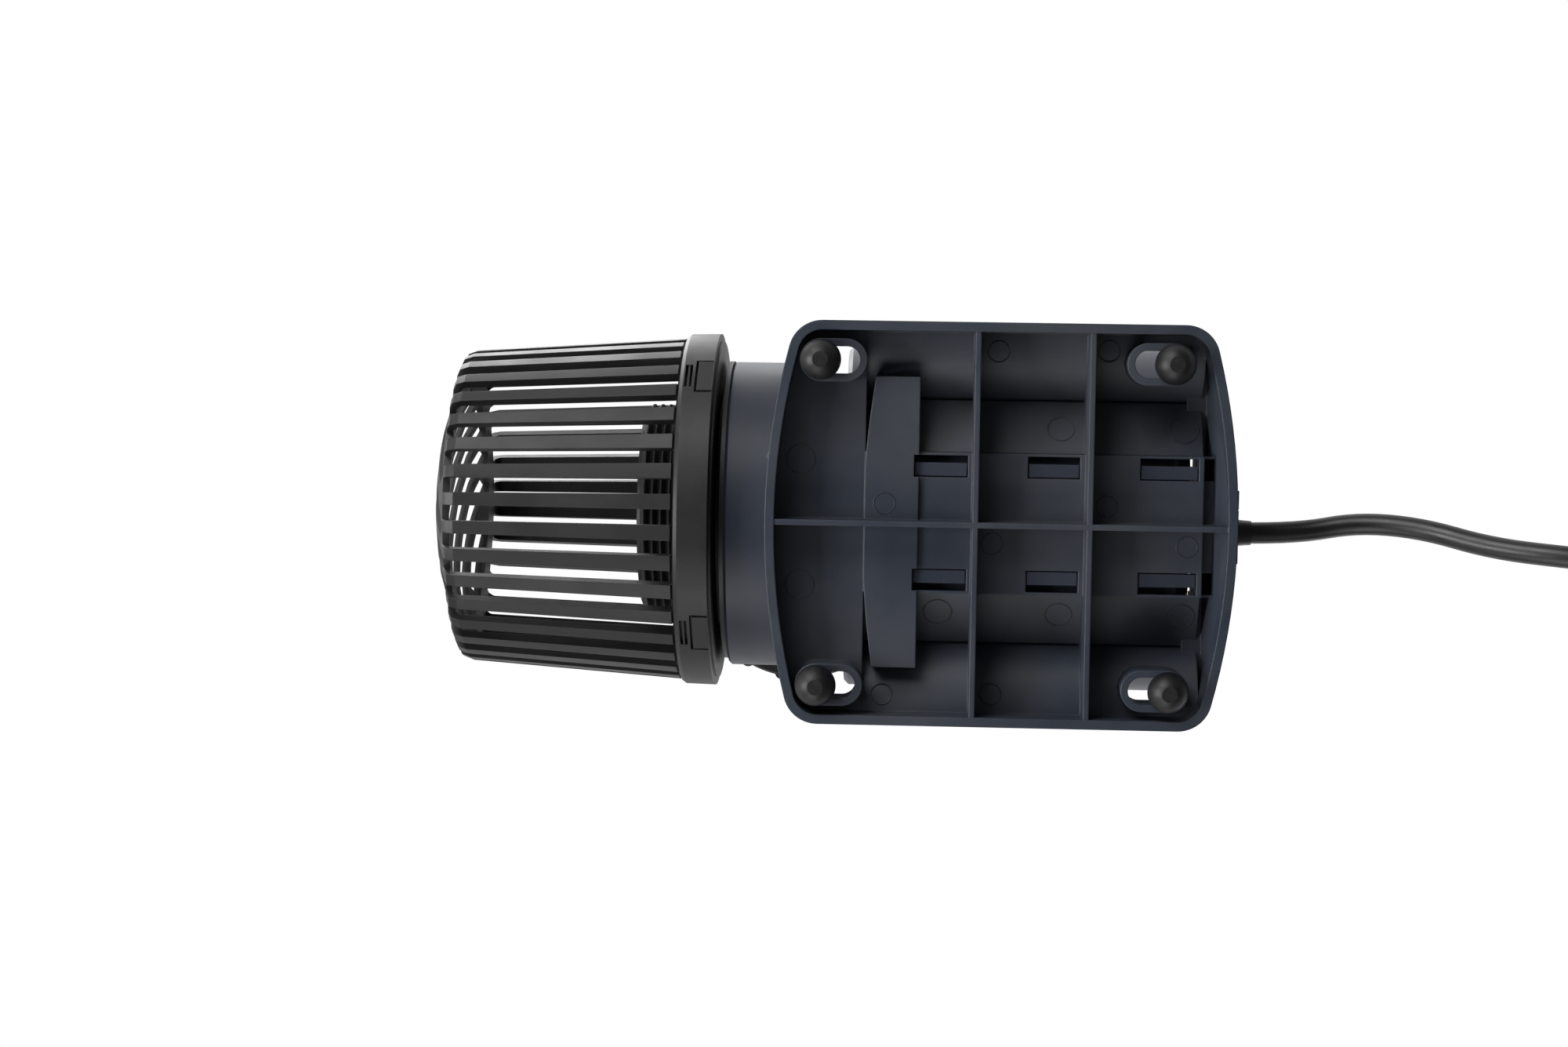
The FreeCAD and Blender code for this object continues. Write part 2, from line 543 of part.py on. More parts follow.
# --------------------------------------------------------------------------------------------------
# Rotor
# --------------------------------------------------------------------------------------------------
def rotor():
    """Impeller, magnet and ceramic shaft, turning in the rotor can."""
    shroud = MAGNET_FRONT - 10.5
    stem_rear = MAGNET_FRONT + D["magnet_length"] + 0.6
    bore = D["shaft_radius"] + 0.02
    vane_front = shroud - D["impeller_height"]
    disc = turned("impeller_disc", [
        (shroud, bore), (vane_front + 3.0, bore), (vane_front + 3.0, 6.5), (shroud - 2.0, 8.5),
        (shroud - 0.5, 14.0), (shroud, D["impeller_radius"]), (shroud + 2.0, D["impeller_radius"]),
        (shroud + 2.0, D["magnet_bore"] - 0.05), (stem_rear, D["magnet_bore"] - 0.05),
        (stem_rear, bore)], z=AXIS)
    vanes = []
    count = int(D["vane_count"].value)
    for index in range(count):
        angle = index * 360.0 / count
        vane = radial_slab(f"vane_{index}", D["vane_thickness"], vane_front, D["impeller_height"] + 0.5,
                           12.0, D["impeller_radius"] - 13.2, angle, y=0)
        lean = FreeCAD.Rotation(Vector(1, 0, 0), angle + 28.0)
        vane.Placement = FreeCAD.Placement(vane.Placement.Base, lean)
        vanes.append(vane)
    limit = ring("vane_limit", vane_front, shroud + 0.4, D["impeller_radius"], 9.0)
    trimmed = doc.addObject("Part::MultiCommon", "vanes_trimmed")
    trimmed.Shapes = [fuse("vanes_joined", *vanes), limit]
    keep(fuse("impeller", disc, trimmed), "impeller")
    keep(ring("rotor_magnet", MAGNET_FRONT, MAGNET_FRONT + D["magnet_length"], D["magnet_radius"],
              D["magnet_bore"]), "rotor_magnet")
    shaft_front = VOLUTE_FRONT + 1.6
    shaft_rear = CAN_END - 2.4
    keep(rod("rotor_shaft", D["shaft_radius"], shaft_rear - shaft_front, shaft_front, 0, AXIS, axis="X"),
         "rotor_shaft")


def rotor_can():
    """Sealed sleeve that keeps the water away from the stator; its flange closes the pump chamber."""
    inner, outer = D["can_bore"], D["can_radius"]
    seat = D["seat_radius"] + 0.05
    pocket = CAN_END - 8.2
    flange_radius = D["rear_neck_bore"] - 0.2
    keep(turned("rotor_can", [
        (CAN_FACE + 0.1, inner), (CAN_FACE + 0.1, flange_radius), (CAN_FACE + 3.0, flange_radius),
        (CAN_FACE + 3.0, 31.6), (NECK_REAR - 0.1, 31.6), (NECK_REAR - 0.1, outer), (CAN_END, outer),
        (CAN_END, 0), (CAN_END - 2.0, 0), (CAN_END - 2.0, seat), (pocket, seat), (pocket, inner)],
        z=AXIS), "rotor_can")
    keep(torus("can_seal", 32.8, 1.1, CAN_FACE + 4.4, 0, AXIS), "can_seal")
    bearing("rear", pocket + 0.4, CAN_END - 2.1, pocket + 1.2)


# --------------------------------------------------------------------------------------------------
# Motor
# --------------------------------------------------------------------------------------------------
STATOR_FRONT = HOUSING_FRONT + 7.5


def stator():
    """Laminated core with teeth, and one coil wound on every tooth."""
    core = ring("core_ring", STATOR_FRONT, STATOR_FRONT + D["stator_length"], D["stator_radius"],
                D["stator_radius"] - 7.5)
    teeth, coils = [], []
    count = int(D["tooth_count"].value)
    length, width = D["stator_length"], D["tooth_width"]
    for index in range(count):
        angle = index * 360.0 / count
        teeth.append(radial_slab(f"tooth_{index}", width, STATOR_FRONT, length, 16.0, 16.0, angle))
        teeth.append(radial_slab(f"tooth_shoe_{index}", width + 5.0, STATOR_FRONT, length, 16.0, 3.6, angle))
        wound = radial_slab(f"coil_block_{index}", width + 5.6, STATOR_FRONT - 3.0, length + 6.0, 20.4, 9.2,
                            angle)
        window = radial_slab(f"coil_window_{index}", width + 0.2, STATOR_FRONT - 0.1, length + 0.2, 19.0,
                             12.0, angle)
        coils.append(cut(f"coil_{index}", wound, window))
    bore = rod("stator_bore_tool", D["stator_bore"], length + 2.0, STATOR_FRONT - 1.0, 0, AXIS, axis="X")
    keep(cut("stator_core", fuse("core_blank", core, *teeth), bore), "stator_core")
    keep(group("stator_coils", coils), "stator_coils")


def electronics():
    """Driver board, its tall parts and the resin that seals the rear of the motor."""
    board = STATOR_FRONT + D["stator_length"] + 9.5
    keep(rod("driver_board", D["board_radius"], 1.6, board, SHIFT, AXIS, axis="X"), "driver_board")
    parts = [rod(f"capacitor_{index}", 5.0, 10.0, board + 1.7, SHIFT - 20.0 + 13.0 * index, AXIS + 16.0,
                 axis="X") for index in range(4)]
    parts += [box(f"chip_{index}", (board + 1.7, -22.0 + 16.0 * index, AXIS - 22.0),
                  (board + 3.6, -12.0 + 16.0 * index, AXIS - 12.0)) for index in range(3)]
    keep(group("board_parts", parts), "board_parts")
    resin = rod("resin_disc", D["housing_radius"] - D["housing_wall"] - 0.3, 16.0, board + 14.0, SHIFT, AXIS,
                axis="X")
    lead = rod("resin_lead_hole", D["cord_diameter"] / 2 + 0.4, 20.0, board + 12.0, D["gland_y"],
               D["gland_z"], axis="X")
    keep(cut("potting_resin", resin, lead), "potting_resin")


def motor_housing():
    """Motor shell with its closed front wall, screw bosses and six hooks for the base plate."""
    outer, wall = D["housing_radius"], D["housing_wall"]
    inner = outer - wall
    shell = turned("housing_shell", [
        (HOUSING_FRONT, 18.6), (HOUSING_FRONT, outer - 1.2), (HOUSING_FRONT + 1.2, outer),
        (HOUSING_REAR, outer), (HOUSING_REAR, inner), (HOUSING_FRONT + 3.0, inner),
        (HOUSING_FRONT + 3.0, 18.6)], y=SHIFT, z=AXIS)
    pieces = [shell]
    for index in range(4):
        angle = 45.0 + 90.0 * index
        boss = doc.addObject("Part::Cylinder", f"screw_boss_{index}")
        bind(boss, Radius=3.6, Height=9.0)
        across = SHIFT - D["screw_circle"] * math.sin(math.radians(angle))
        up = AXIS + D["screw_circle"] * math.cos(math.radians(angle))
        place(boss, HOUSING_REAR - 12.6, across, up, FreeCAD.Rotation(Vector(0, 1, 0), 90))
        hole = rod(f"screw_boss_hole_{index}", 1.5, 12.0, HOUSING_REAR - 11.0, across, up, axis="X")
        pieces.append(cut(f"screw_boss_drilled_{index}", boss, hole))
    for number, (start, end) in enumerate(HOOK_WINDOWS):
        pieces.append(hook(f"hook_left_{number}", start + 0.3, end - 0.3, -1))
        pieces.append(hook(f"hook_right_{number}", start + 0.3, end - 0.3, 1))
    keep(fuse("motor_housing", *pieces), "motor_housing")


def hook(name, start, end, side):
    """One hook: a root on the shell and a flat tongue that fills most of its window in the strip."""
    strip = RIM + D["strip_depth"]
    inside, outside = D["window_inner"] + 0.3, D["tongue_outer"]
    root_edges = (inside, inside + 3.0) if side > 0 else (-inside - 3.0, -inside)
    tongue_edges = (inside, outside) if side > 0 else (-outside, -inside)
    root_end = end if end.value < HOUSING_REAR.value else HOUSING_REAR - 0.2
    root = box(name + "_root", (start, root_edges[0], strip + 3.4), (root_end, root_edges[1], AXIS - 44.4))
    tongue = box(name + "_tongue", (start, tongue_edges[0], strip + 0.4), (end, tongue_edges[1], strip + 3.8))
    return fuse(name, root, tongue)


def rear_cap():
    """Rounded rear cap with its four screws and the cable gland."""
    outer = D["housing_radius"]
    inner = outer - D["housing_wall"] - 0.1
    plug = HOUSING_REAR - D["cap_plug"]
    blank = turned("cap_blank", [
        (plug, inner - 2.4), (plug, inner), (HOUSING_REAR + 0.05, inner), (HOUSING_REAR + 0.05, outer),
        (CAP_REAR - 3.6, outer), (CAP_REAR - 1.2, outer - 1.4), (CAP_REAR, outer - 4.6), (CAP_REAR, 0),
        (HOUSING_REAR + 2.0, 0), (HOUSING_REAR + 2.0, inner - 2.4)], y=SHIFT, z=AXIS)
    pad = rod("gland_pad", D["gland_radius"] + 1.4, D["gland_seat"] + 1.0, CAP_REAR - 1.0, D["gland_y"],
              D["gland_z"], axis="X")
    tools = [rod("gland_hole", D["cord_diameter"] / 2 + 1.3, 20.0, HOUSING_REAR - 4.0, D["gland_y"],
                 D["gland_z"], axis="X")]
    screws = []
    for index in range(4):
        angle = math.radians(45.0 + 90.0 * index)
        across = SHIFT - D["screw_circle"] * math.sin(angle)
        up = AXIS + D["screw_circle"] * math.cos(angle)
        tools.append(rod(f"screw_hole_{index}", 1.7, 20.0, HOUSING_REAR - 6.0, across, up, axis="X"))
        tools.append(rod(f"screw_counterbore_{index}", 3.1, 8.0, CAP_REAR - 2.0, across, up, axis="X"))
        shank = rod(f"screw_shank_{index}", 1.4, 10.0, CAP_REAR - 11.9, across, up, axis="X")
        head = rod(f"screw_head_{index}", 2.8, 1.8, CAP_REAR - 1.95, across, up, axis="X")
        socket = doc.addObject("Part::Prism", f"screw_socket_{index}")
        socket.Polygon = 6
        bind(socket, Circumradius=1.3, Height=3.0)
        place(socket, CAP_REAR - 1.3, across, up, FreeCAD.Rotation(Vector(0, 1, 0), 90))
        screws.append(cut(f"screw_{index}", fuse(f"screw_blank_{index}", shank, head), socket))
    keep(cut("rear_cap", fuse("cap_solid", blank, pad), *tools), "rear_cap")
    keep(group("cap_screws", screws), "cap_screws")


def cable_gland():
    """Gland nut on the rear cap, and the short tapered boot that protects the cable."""
    y, z = D["gland_y"], D["gland_z"]
    bore = D["cord_diameter"] / 2 + 0.05
    start = CAP_REAR + D["gland_seat"] + 0.05
    blank = doc.addObject("Part::Prism", "gland_hexagon")
    blank.Polygon = 6
    bind(blank, Circumradius=D["gland_radius"], Height=D["gland_length"])
    place(blank, start, y, z, FreeCAD.Rotation(Vector(0, 1, 0), 90))
    stem = rod("gland_stem", D["cord_diameter"] / 2 + 1.2, 8.0, start - 7.0, y, z, axis="X")
    hole = rod("gland_bore", bore, 30.0, start - 10.0, y, z, axis="X")
    keep(cut("cable_gland", fuse("gland_blank", blank, stem), hole), "cable_gland")
    boot_start = start + D["gland_length"] + 0.02
    end = D["overall_length"] / 2
    keep(turned("cable_boot", [
        (boot_start, bore), (boot_start, D["boot_radius"]), (end, D["boot_end_radius"]), (end, bore)],
        y=y, z=z), "cable_boot")


# --------------------------------------------------------------------------------------------------
# Base plate and feet
# --------------------------------------------------------------------------------------------------
MIDDLE = D["feet_middle"]
RIDGE_DEPTH = 21.0
REAR_DEPTH = 18.5
HOOK_WINDOWS = [(MIDDLE - 21.2, MIDDLE - 6.9), (MIDDLE + 8.9, MIDDLE + 22.7), (MIDDLE + 38.5, MIDDLE + 53.9)]


def bowed_plate(name, inset, bottom, height):
    """The plate's outline, bowed at both ends and rounded at its corners, as a solid."""
    inset = Size.of(inset).value
    half_length = D["plate_length"].value / 2 - inset
    half_width = D["plate_width"].value / 2 - inset
    bow = D["plate_bow"].value - inset
    sag = bow - math.sqrt(bow ** 2 - half_width ** 2)
    middle = D["plate_middle"].value
    left, right = middle - half_length, middle + half_length
    corners = [Vector(left + sag, -half_width, 0), Vector(right - sag, -half_width, 0),
               Vector(right - sag, half_width, 0), Vector(left + sag, half_width, 0)]
    edges = [Part.LineSegment(corners[0], corners[1]).toShape(),
             Part.Arc(corners[1], Vector(right, 0, 0), corners[2]).toShape(),
             Part.LineSegment(corners[2], corners[3]).toShape(),
             Part.Arc(corners[3], Vector(left, 0, 0), corners[0]).toShape()]
    blank = Part.Face(Part.Wire(edges)).extrude(Vector(0, 0, Size.of(height).value))
    upright = [edge for edge in blank.Edges
               if abs(edge.Vertexes[0].X - edge.Vertexes[-1].X) < 1e-6
               and abs(edge.Vertexes[0].Y - edge.Vertexes[-1].Y) < 1e-6]
    solid = blank.makeFillet(max(D["plate_corner"].value - inset, 1.0), upright)
    plate = doc.addObject("Part::Feature", name)
    plate.Shape = solid
    plate.Placement = FreeCAD.Placement(Vector(0, 0, Size.of(bottom).value), FreeCAD.Rotation())
    return plate


def cradle_face(x, raised, level):
    """Face across the plate between the cradle's stepped surface and a level plane."""
    strip, ridge = D["strip_half_width"].value, D["cradle_edge"].value
    wall = D["plate_width"].value / 2 - D["plate_wall"].value
    low = RIM.value + raised
    floor, crest = low + D["deck_depth"].value, low + RIDGE_DEPTH
    across, rise = wall - ridge, crest - floor
    sweep = (across ** 2 + rise ** 2) / (2 * rise)
    half_turn = math.asin(across / sweep) / 2
    bend = (wall - sweep * math.sin(half_turn), floor + sweep * (1 - math.cos(half_turn)))
    strip_level = low + D["strip_depth"].value
    half = [(0, strip_level), (strip, strip_level), (strip, strip_level + 3.0), (ridge, crest - 1.5),
            (ridge, crest), (wall, floor), (wall + 8.0, floor), (wall + 8.0, level)]
    edges = []
    for side in (-1, 1):
        corners = [Vector(x, side * y, z) for y, z in half]
        for before, after in zip(corners, corners[1:]):
            if before.z > after.z and abs(after.y) == wall:
                edges.append(Part.Arc(before, Vector(x, side * bend[0], bend[1]), after).toShape())
            else:
                edges.append(Part.LineSegment(before, after).toShape())
    edges.append(Part.LineSegment(Vector(x, -wall - 8.0, level), Vector(x, wall + 8.0, level)).toShape())
    return Part.Face(Part.Wire(Part.__sortEdges__(edges)))


def slab(start, end, bottom, top):
    """A box right across the plate between two stations and two heights."""
    return Part.makeBox(end - start, 160.0, top - bottom, Vector(start, -80.0, bottom))


def slot_tool(name, x, y, half_width, length, bottom, height):
    """An oval upright solid for a slot or its boss."""
    offset = length / 2 - half_width
    ends = [rod(f"{name}_end_{index}", half_width, height, x + offset * sign, y, bottom)
            for index, sign in enumerate((-1, 1))]
    middle = box(f"{name}_middle", (x - offset, y - half_width, bottom),
                 (x + offset, y + half_width, bottom + height))
    return fuse(name, middle, *ends)


def plate_tray():
    """Rim wall, stepped cradle deck, sloping rear wall, cross pad and ribs, without its openings."""
    rim, middle = RIM.value, MIDDLE.value
    thickness, step = D["deck_thickness"].value, 2.0
    front, rear = middle - 34.1, middle + 51.3
    front_deck, rear_deck = rim + D["deck_depth"].value, rim + REAR_DEPTH
    below, above = rim - 1.0, rim + 60.0
    envelope = bowed_plate("plate_envelope", 0, rim, 30.0).Shape
    inside = bowed_plate("plate_inside", D["plate_wall"], below, 60.0).Shape
    cradle = cradle_face(front, 0.0, below).extrude(Vector(rear - front, 0, 0))
    passage = cradle_face(rear - 0.5, 0.0, below).extrude(Vector(2 * step + 0.5, 0, 0))
    slope = Part.makePolygon([Vector(rear + 2 * step, -80, below), Vector(middle + 61.4, -80, below),
                              Vector(middle + 56.6, -80, rear_deck), Vector(rear + 2 * step, -80, rear_deck),
                              Vector(rear + 2 * step, -80, below)])
    tail_space = Part.Face(slope).extrude(Vector(0, 160.0, 0))
    space = slab(front - 60.0, front, below, front_deck).fuse(
        [cradle, passage.common(slab(rear - 1.0, rear + 2 * step, below, rear_deck)), tail_space])
    space = space.common(inside)
    upper = cradle_face(front - step, thickness, above).extrude(Vector(rear - front + 2 * step, 0, 0))
    outside = upper.fuse([slab(front - 60.0, front - step, front_deck + thickness, above),
                          slab(rear + step, rear + 60.0, rear_deck + thickness, above)])
    rib, low = D["rib_width"].value, rim + 0.2
    ribs = [Part.makeBox(rib, 160.0, 30.0, Vector(middle + D[name].value - rib / 2, -80.0, low))
            for name in ("front_rib", "rear_rib")]
    ribs.append(Part.makeBox(200.0, rib, 30.0, Vector(middle - 100.0, -rib / 2, low)))
    bow = Part.makeCylinder(250.0, 20.0, Vector(middle - 34.6 + 250.0, 0, rim + 8.0))
    pad = Part.makeBox(14.3, 77.2, 20.0, Vector(middle - 34.2, -38.6, rim + 8.0)).common(bow)
    half = D["strip_half_width"].value
    shelf = Part.makeBox(13.0, 2 * half, 20.0, Vector(rear + 2 * step - 0.5, -half, rim + 12.0))
    length = CAP_REAR.value - HOUSING_FRONT.value + 0.8
    casing = Part.makeCylinder(D["housing_radius"].value + 0.25, length,
                               Vector(HOUSING_FRONT.value - 0.4, SHIFT.value, AXIS.value), Vector(1, 0, 0))
    return envelope.cut(space.cut(ribs + [pad, shelf])).cut([outside, casing]).removeSplitter()


def base_plate():
    """Moulded tray turned upside down, with ringed mounting slots and windows for the hooks."""
    blank = doc.addObject("Part::Feature", "plate_blank")
    blank.Shape = plate_tray()
    bosses, slots = [], []
    for number, (x, y) in enumerate(slot_places()):
        bosses.append(slot_tool(f"boss_{number}", x, y, D["slot_half_width"] + D["boss_wall"],
                                D["slot_length"] + 2 * D["boss_wall"], RIM + D["boss_depth"], 10.5))
        slots.append(slot_tool(f"slot_{number}", x, y, D["slot_half_width"], D["slot_length"], RIM - 5.0,
                               60.0))
    windows = []
    pad_front = D["plate_middle"] + D["plate_length"] / 2 - 0.8
    inner, outer = D["window_inner"], D["window_outer"]
    for number, (start, end) in enumerate(HOOK_WINDOWS):
        windows.append(box(f"window_left_{number}", (start, -outer, RIM + 3.0), (end, -inner, RIM + 40.0)))
        windows.append(box(f"window_right_{number}", (start, inner, RIM + 3.0), (end, outer, RIM + 40.0)))
    gap_front, gap_rear, gap_low, gap_top = MIDDLE + 55.6, MIDDLE + 60.0, RIM + 12.0, RIM + 24.0
    hoods = []
    for name, start, end in (("left", -outer, -inner), ("right", inner, outer)):
        windows.append(box(f"rear_gap_{name}", (gap_front, start, gap_low), (gap_rear, end, gap_top)))
        hoods.append(box(f"rear_hood_{name}", (gap_front - 2.2, start - 1.0, RIM + 18.0),
                         (gap_rear + 1.0, end + 1.0, gap_top + 1.0)))
    pads = [box(f"rear_pad_{number}", (pad_front, start, RIM + 6.0), (pad_front + 1.6, end, RIM + 16.0))
            for number, (start, end) in enumerate(((-10.0, -5.2), (-4.8, 9.2)))]
    trimmed = fuse("plate_with_bosses", blank, *bosses, *pads, *hoods)
    keep(cut("base_plate", trimmed, *slots, *windows), "base_plate")


def slot_places():
    """Centres of the four mounting slots."""
    along, across = D["slot_spacing_along"] / 2, D["slot_spacing_across"] / 2
    return [(MIDDLE - along, -across), (MIDDLE - along, across), (MIDDLE + along, -across), (MIDDLE + along, across)]


def feet():
    """Four rubber ball feet, each pushed into the outer end of its slot."""
    names = ["foot_front_left", "foot_front_right", "foot_rear_left", "foot_rear_right"]
    reach = D["slot_length"] / 2 - D["slot_half_width"]
    boss_face = RIM + D["boss_depth"] - 0.02
    for name, (x, y), outward in zip(names, slot_places(), (-1, -1, 1, 1)):
        foot_x = x + reach * outward
        ball = doc.addObject("Part::Sphere", name + "_ball")
        bind(ball, Radius=D["foot_radius"])
        low = math.degrees(math.asin(-D["foot_middle"].value / D["foot_radius"].value))
        high = math.degrees(math.asin((boss_face.value - D["foot_middle"].value) / D["foot_radius"].value))
        ball.Angle1, ball.Angle2 = low, high
        place(ball, foot_x, y, D["foot_middle"])
        stem = rod(name + "_stem", D["slot_half_width"] - 0.1, 8.0, foot_x, y, boss_face - 0.5)
        keep(fuse(name, ball, stem), name)


# --------------------------------------------------------------------------------------------------
# Cable
# --------------------------------------------------------------------------------------------------
CORD_RUN = [
    (113.75, 2.5, 39.0), (127.0, 2.3, 39.1), (142.0, -1.0, 36.6), (158.0, -0.2, 29.0), (174.0, 4.2, 18.4),
    (191.0, 5.6, 7.6), (207.0, 6.7, 3.4), (222.0, 7.5, 3.55),
]
CORD_TAIL = [
    (229.0, 10.1, 20.6), (240.0, 16.3, 18.2), (251.0, 22.0, 14.0), (262.5, 26.8, 10.8), (275.0, 29.6, 9.6),
]


def cord_tube(name, route):
    """A round cable along straight runs joined by tangent arcs."""
    points = [Vector(*point) for point in route]
    radius = D["cord_diameter"].value / 2
    edges, here = [], points[0]
    for before, corner, after in zip(points, points[1:], points[2:]):
        into, out = (corner - before), (after - corner)
        turn = into.getAngle(out)
        reach = 0.45 * min(into.Length, out.Length)
        print(f"{name} bend radius {reach / math.tan(turn / 2):.0f} mm")
        into.normalize()
        out.normalize()
        arc_start, arc_end = corner - into * reach, corner + out * reach
        bisector = (out - into).normalize()
        depth = reach / math.tan(turn / 2) * (1 / math.cos(turn / 2) - 1)
        edges.append(Part.LineSegment(here, arc_start).toShape())
        edges.append(Part.Arc(arc_start, corner + bisector * depth, arc_end).toShape())
        here = arc_end
    edges.append(Part.LineSegment(here, points[-1]).toShape())
    path = Part.Wire(edges)
    section = Part.Wire(Part.Circle(points[0], points[1] - points[0], radius).toShape())
    tube = doc.addObject("Part::Feature", name)
    tube.Shape = path.makePipeShell([section], True, True)
    expected = math.pi * radius ** 2 * path.Length
    print(f"{name} length {path.Length:.1f} mm, volume off by {tube.Shape.Volume / expected - 1:+.2%}")
    return keep(tube, name)


def cable():
    """The free cable to the controller: a run, the tied coil of the rest, a tail and its connector."""
    cord_tube("cord_run", CORD_RUN)
    cord_tube("cord_tail", CORD_TAIL)
    x, y, lift = D["coil_x"], D["coil_y"], 0.6
    keep(turned("cord_coil", [(lift, D["coil_inner"]), (lift, D["coil_outer"]),
                              (D["coil_height"] + lift, D["coil_outer"]),
                              (D["coil_height"] + lift, D["coil_inner"])], x=x, y=y, axis="Z"), "cord_coil")
    near, far = y - D["coil_outer"], y - D["coil_inner"]
    top = D["coil_height"] + lift
    band = box("tie_band", (x - 2.5, near - 0.9, 0), (x + 2.5, far + 0.9, top + 0.7))
    hollow = box("tie_hollow", (x - 4.0, near - 0.2, 0.5), (x + 4.0, far + 0.2, top + 0.1))
    keep(cut("coil_tie", band, hollow), "coil_tie")
    connector()


def connector():
    """Low-voltage screw-lock connector lying beside the coil: boot, body, knurled nut and pins."""
    start, y, z = (Size(value) for value in CORD_TAIL[-1])
    bore = D["cord_diameter"] / 2 + 0.05
    keep(turned("connector_boot", [
        (start - 1.0, bore), (start - 1.0, 4.2), (start + 11.0, 5.6), (start + 11.0, bore)], y=y, z=z),
        "connector_boot")
    body_start = start + 11.1
    keep(turned("connector_body", [
        (body_start, bore), (body_start, 7.0), (body_start + 2.0, 8.0), (body_start + 13.0, 8.0),
        (body_start + 13.0, 6.6), (body_start + 26.0, 6.6), (body_start + 26.0, 5.4),
        (body_start + 17.0, 5.4), (body_start + 17.0, 0), (body_start + 6.0, 0), (body_start + 6.0, bore)],
        y=y, z=z), "connector_body")
    nut_start = body_start + 13.4
    nut = ring("connector_nut_blank", nut_start, nut_start + 11.0, 8.7, 6.9, y=y, z=z)
    ridges = []
    for index in range(16):
        angle = 2 * math.pi * index / 16
        ridges.append(rod(f"connector_ridge_{index}", 0.7, 9.0, nut_start + 1.0, y + 8.6 * math.cos(angle),
                          z + 8.6 * math.sin(angle), axis="X"))
    keep(fuse("connector_nut", nut, *ridges), "connector_nut")
    pins = [rod(f"connector_pin_{index}", 0.8, 8.6, body_start + 17.1, y + 2.6 * math.cos(math.pi * index / 2),
                z + 2.6 * math.sin(math.pi * index / 2), axis="X") for index in range(4)]
    keep(group("connector_pins", pins), "connector_pins")


def build():
    """Make every sub-part, check the document and write the STEP files."""
    strainer_cage()
    strainer_collar()
    inlet_cover()
    volute_shell()
    outlet_union()
    rotor()
    rotor_can()
    stator()
    electronics()
    motor_housing()
    rear_cap()
    cable_gland()
    base_plate()
    feet()
    cable()
    doc.recompute()
    for thing in doc.Objects:
        if "Invalid" in thing.State or "Error" in thing.State:
            raise RuntimeError(f"{thing.Name} failed: {thing.State}")
    os.makedirs("parts", exist_ok=True)
    for node in NODES:
        shape = node.Shape
        if shape.isNull() or not shape.isValid():
            raise RuntimeError(f"{node.Label} has no valid shape")
        shape.exportStep(os.path.join("parts", node.Label + ".step"))
        print(f"{node.Label}: {len(shape.Solids)} solid(s), {shape.Volume / 1000:.2f} cm3")


build()
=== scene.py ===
"""Submersible aquarium circulation pump on its clip-on base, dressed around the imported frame.

Lengths are metres. +Z is up, the pump axis runs along X, the strainer points to -X and the cable
leaves towards +X. The pump stands on four ball feet at Z = 0.
"""

import json
import logging
import math
from dataclasses import dataclass, field
from enum import Enum
from typing import Sequence

import bpy
from mathutils import Matrix, Vector

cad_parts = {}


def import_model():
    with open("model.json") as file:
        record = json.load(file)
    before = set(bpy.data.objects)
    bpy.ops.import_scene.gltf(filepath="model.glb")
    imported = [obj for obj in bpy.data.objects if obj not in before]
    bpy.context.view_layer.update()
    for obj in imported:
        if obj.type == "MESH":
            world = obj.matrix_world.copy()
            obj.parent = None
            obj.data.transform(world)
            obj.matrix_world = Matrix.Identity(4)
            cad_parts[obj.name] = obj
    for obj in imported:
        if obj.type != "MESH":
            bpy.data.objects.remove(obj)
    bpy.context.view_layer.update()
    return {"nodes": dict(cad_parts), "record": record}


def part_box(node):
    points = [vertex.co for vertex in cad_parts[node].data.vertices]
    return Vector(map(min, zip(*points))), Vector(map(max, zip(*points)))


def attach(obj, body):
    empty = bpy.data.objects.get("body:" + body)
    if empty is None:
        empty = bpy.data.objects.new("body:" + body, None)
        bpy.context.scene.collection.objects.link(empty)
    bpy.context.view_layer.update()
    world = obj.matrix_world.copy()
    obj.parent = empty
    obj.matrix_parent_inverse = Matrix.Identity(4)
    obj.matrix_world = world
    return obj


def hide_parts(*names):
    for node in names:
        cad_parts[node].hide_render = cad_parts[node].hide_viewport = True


LOG = logging.getLogger("pump")
MM = 0.001
HOUSING = "housing"


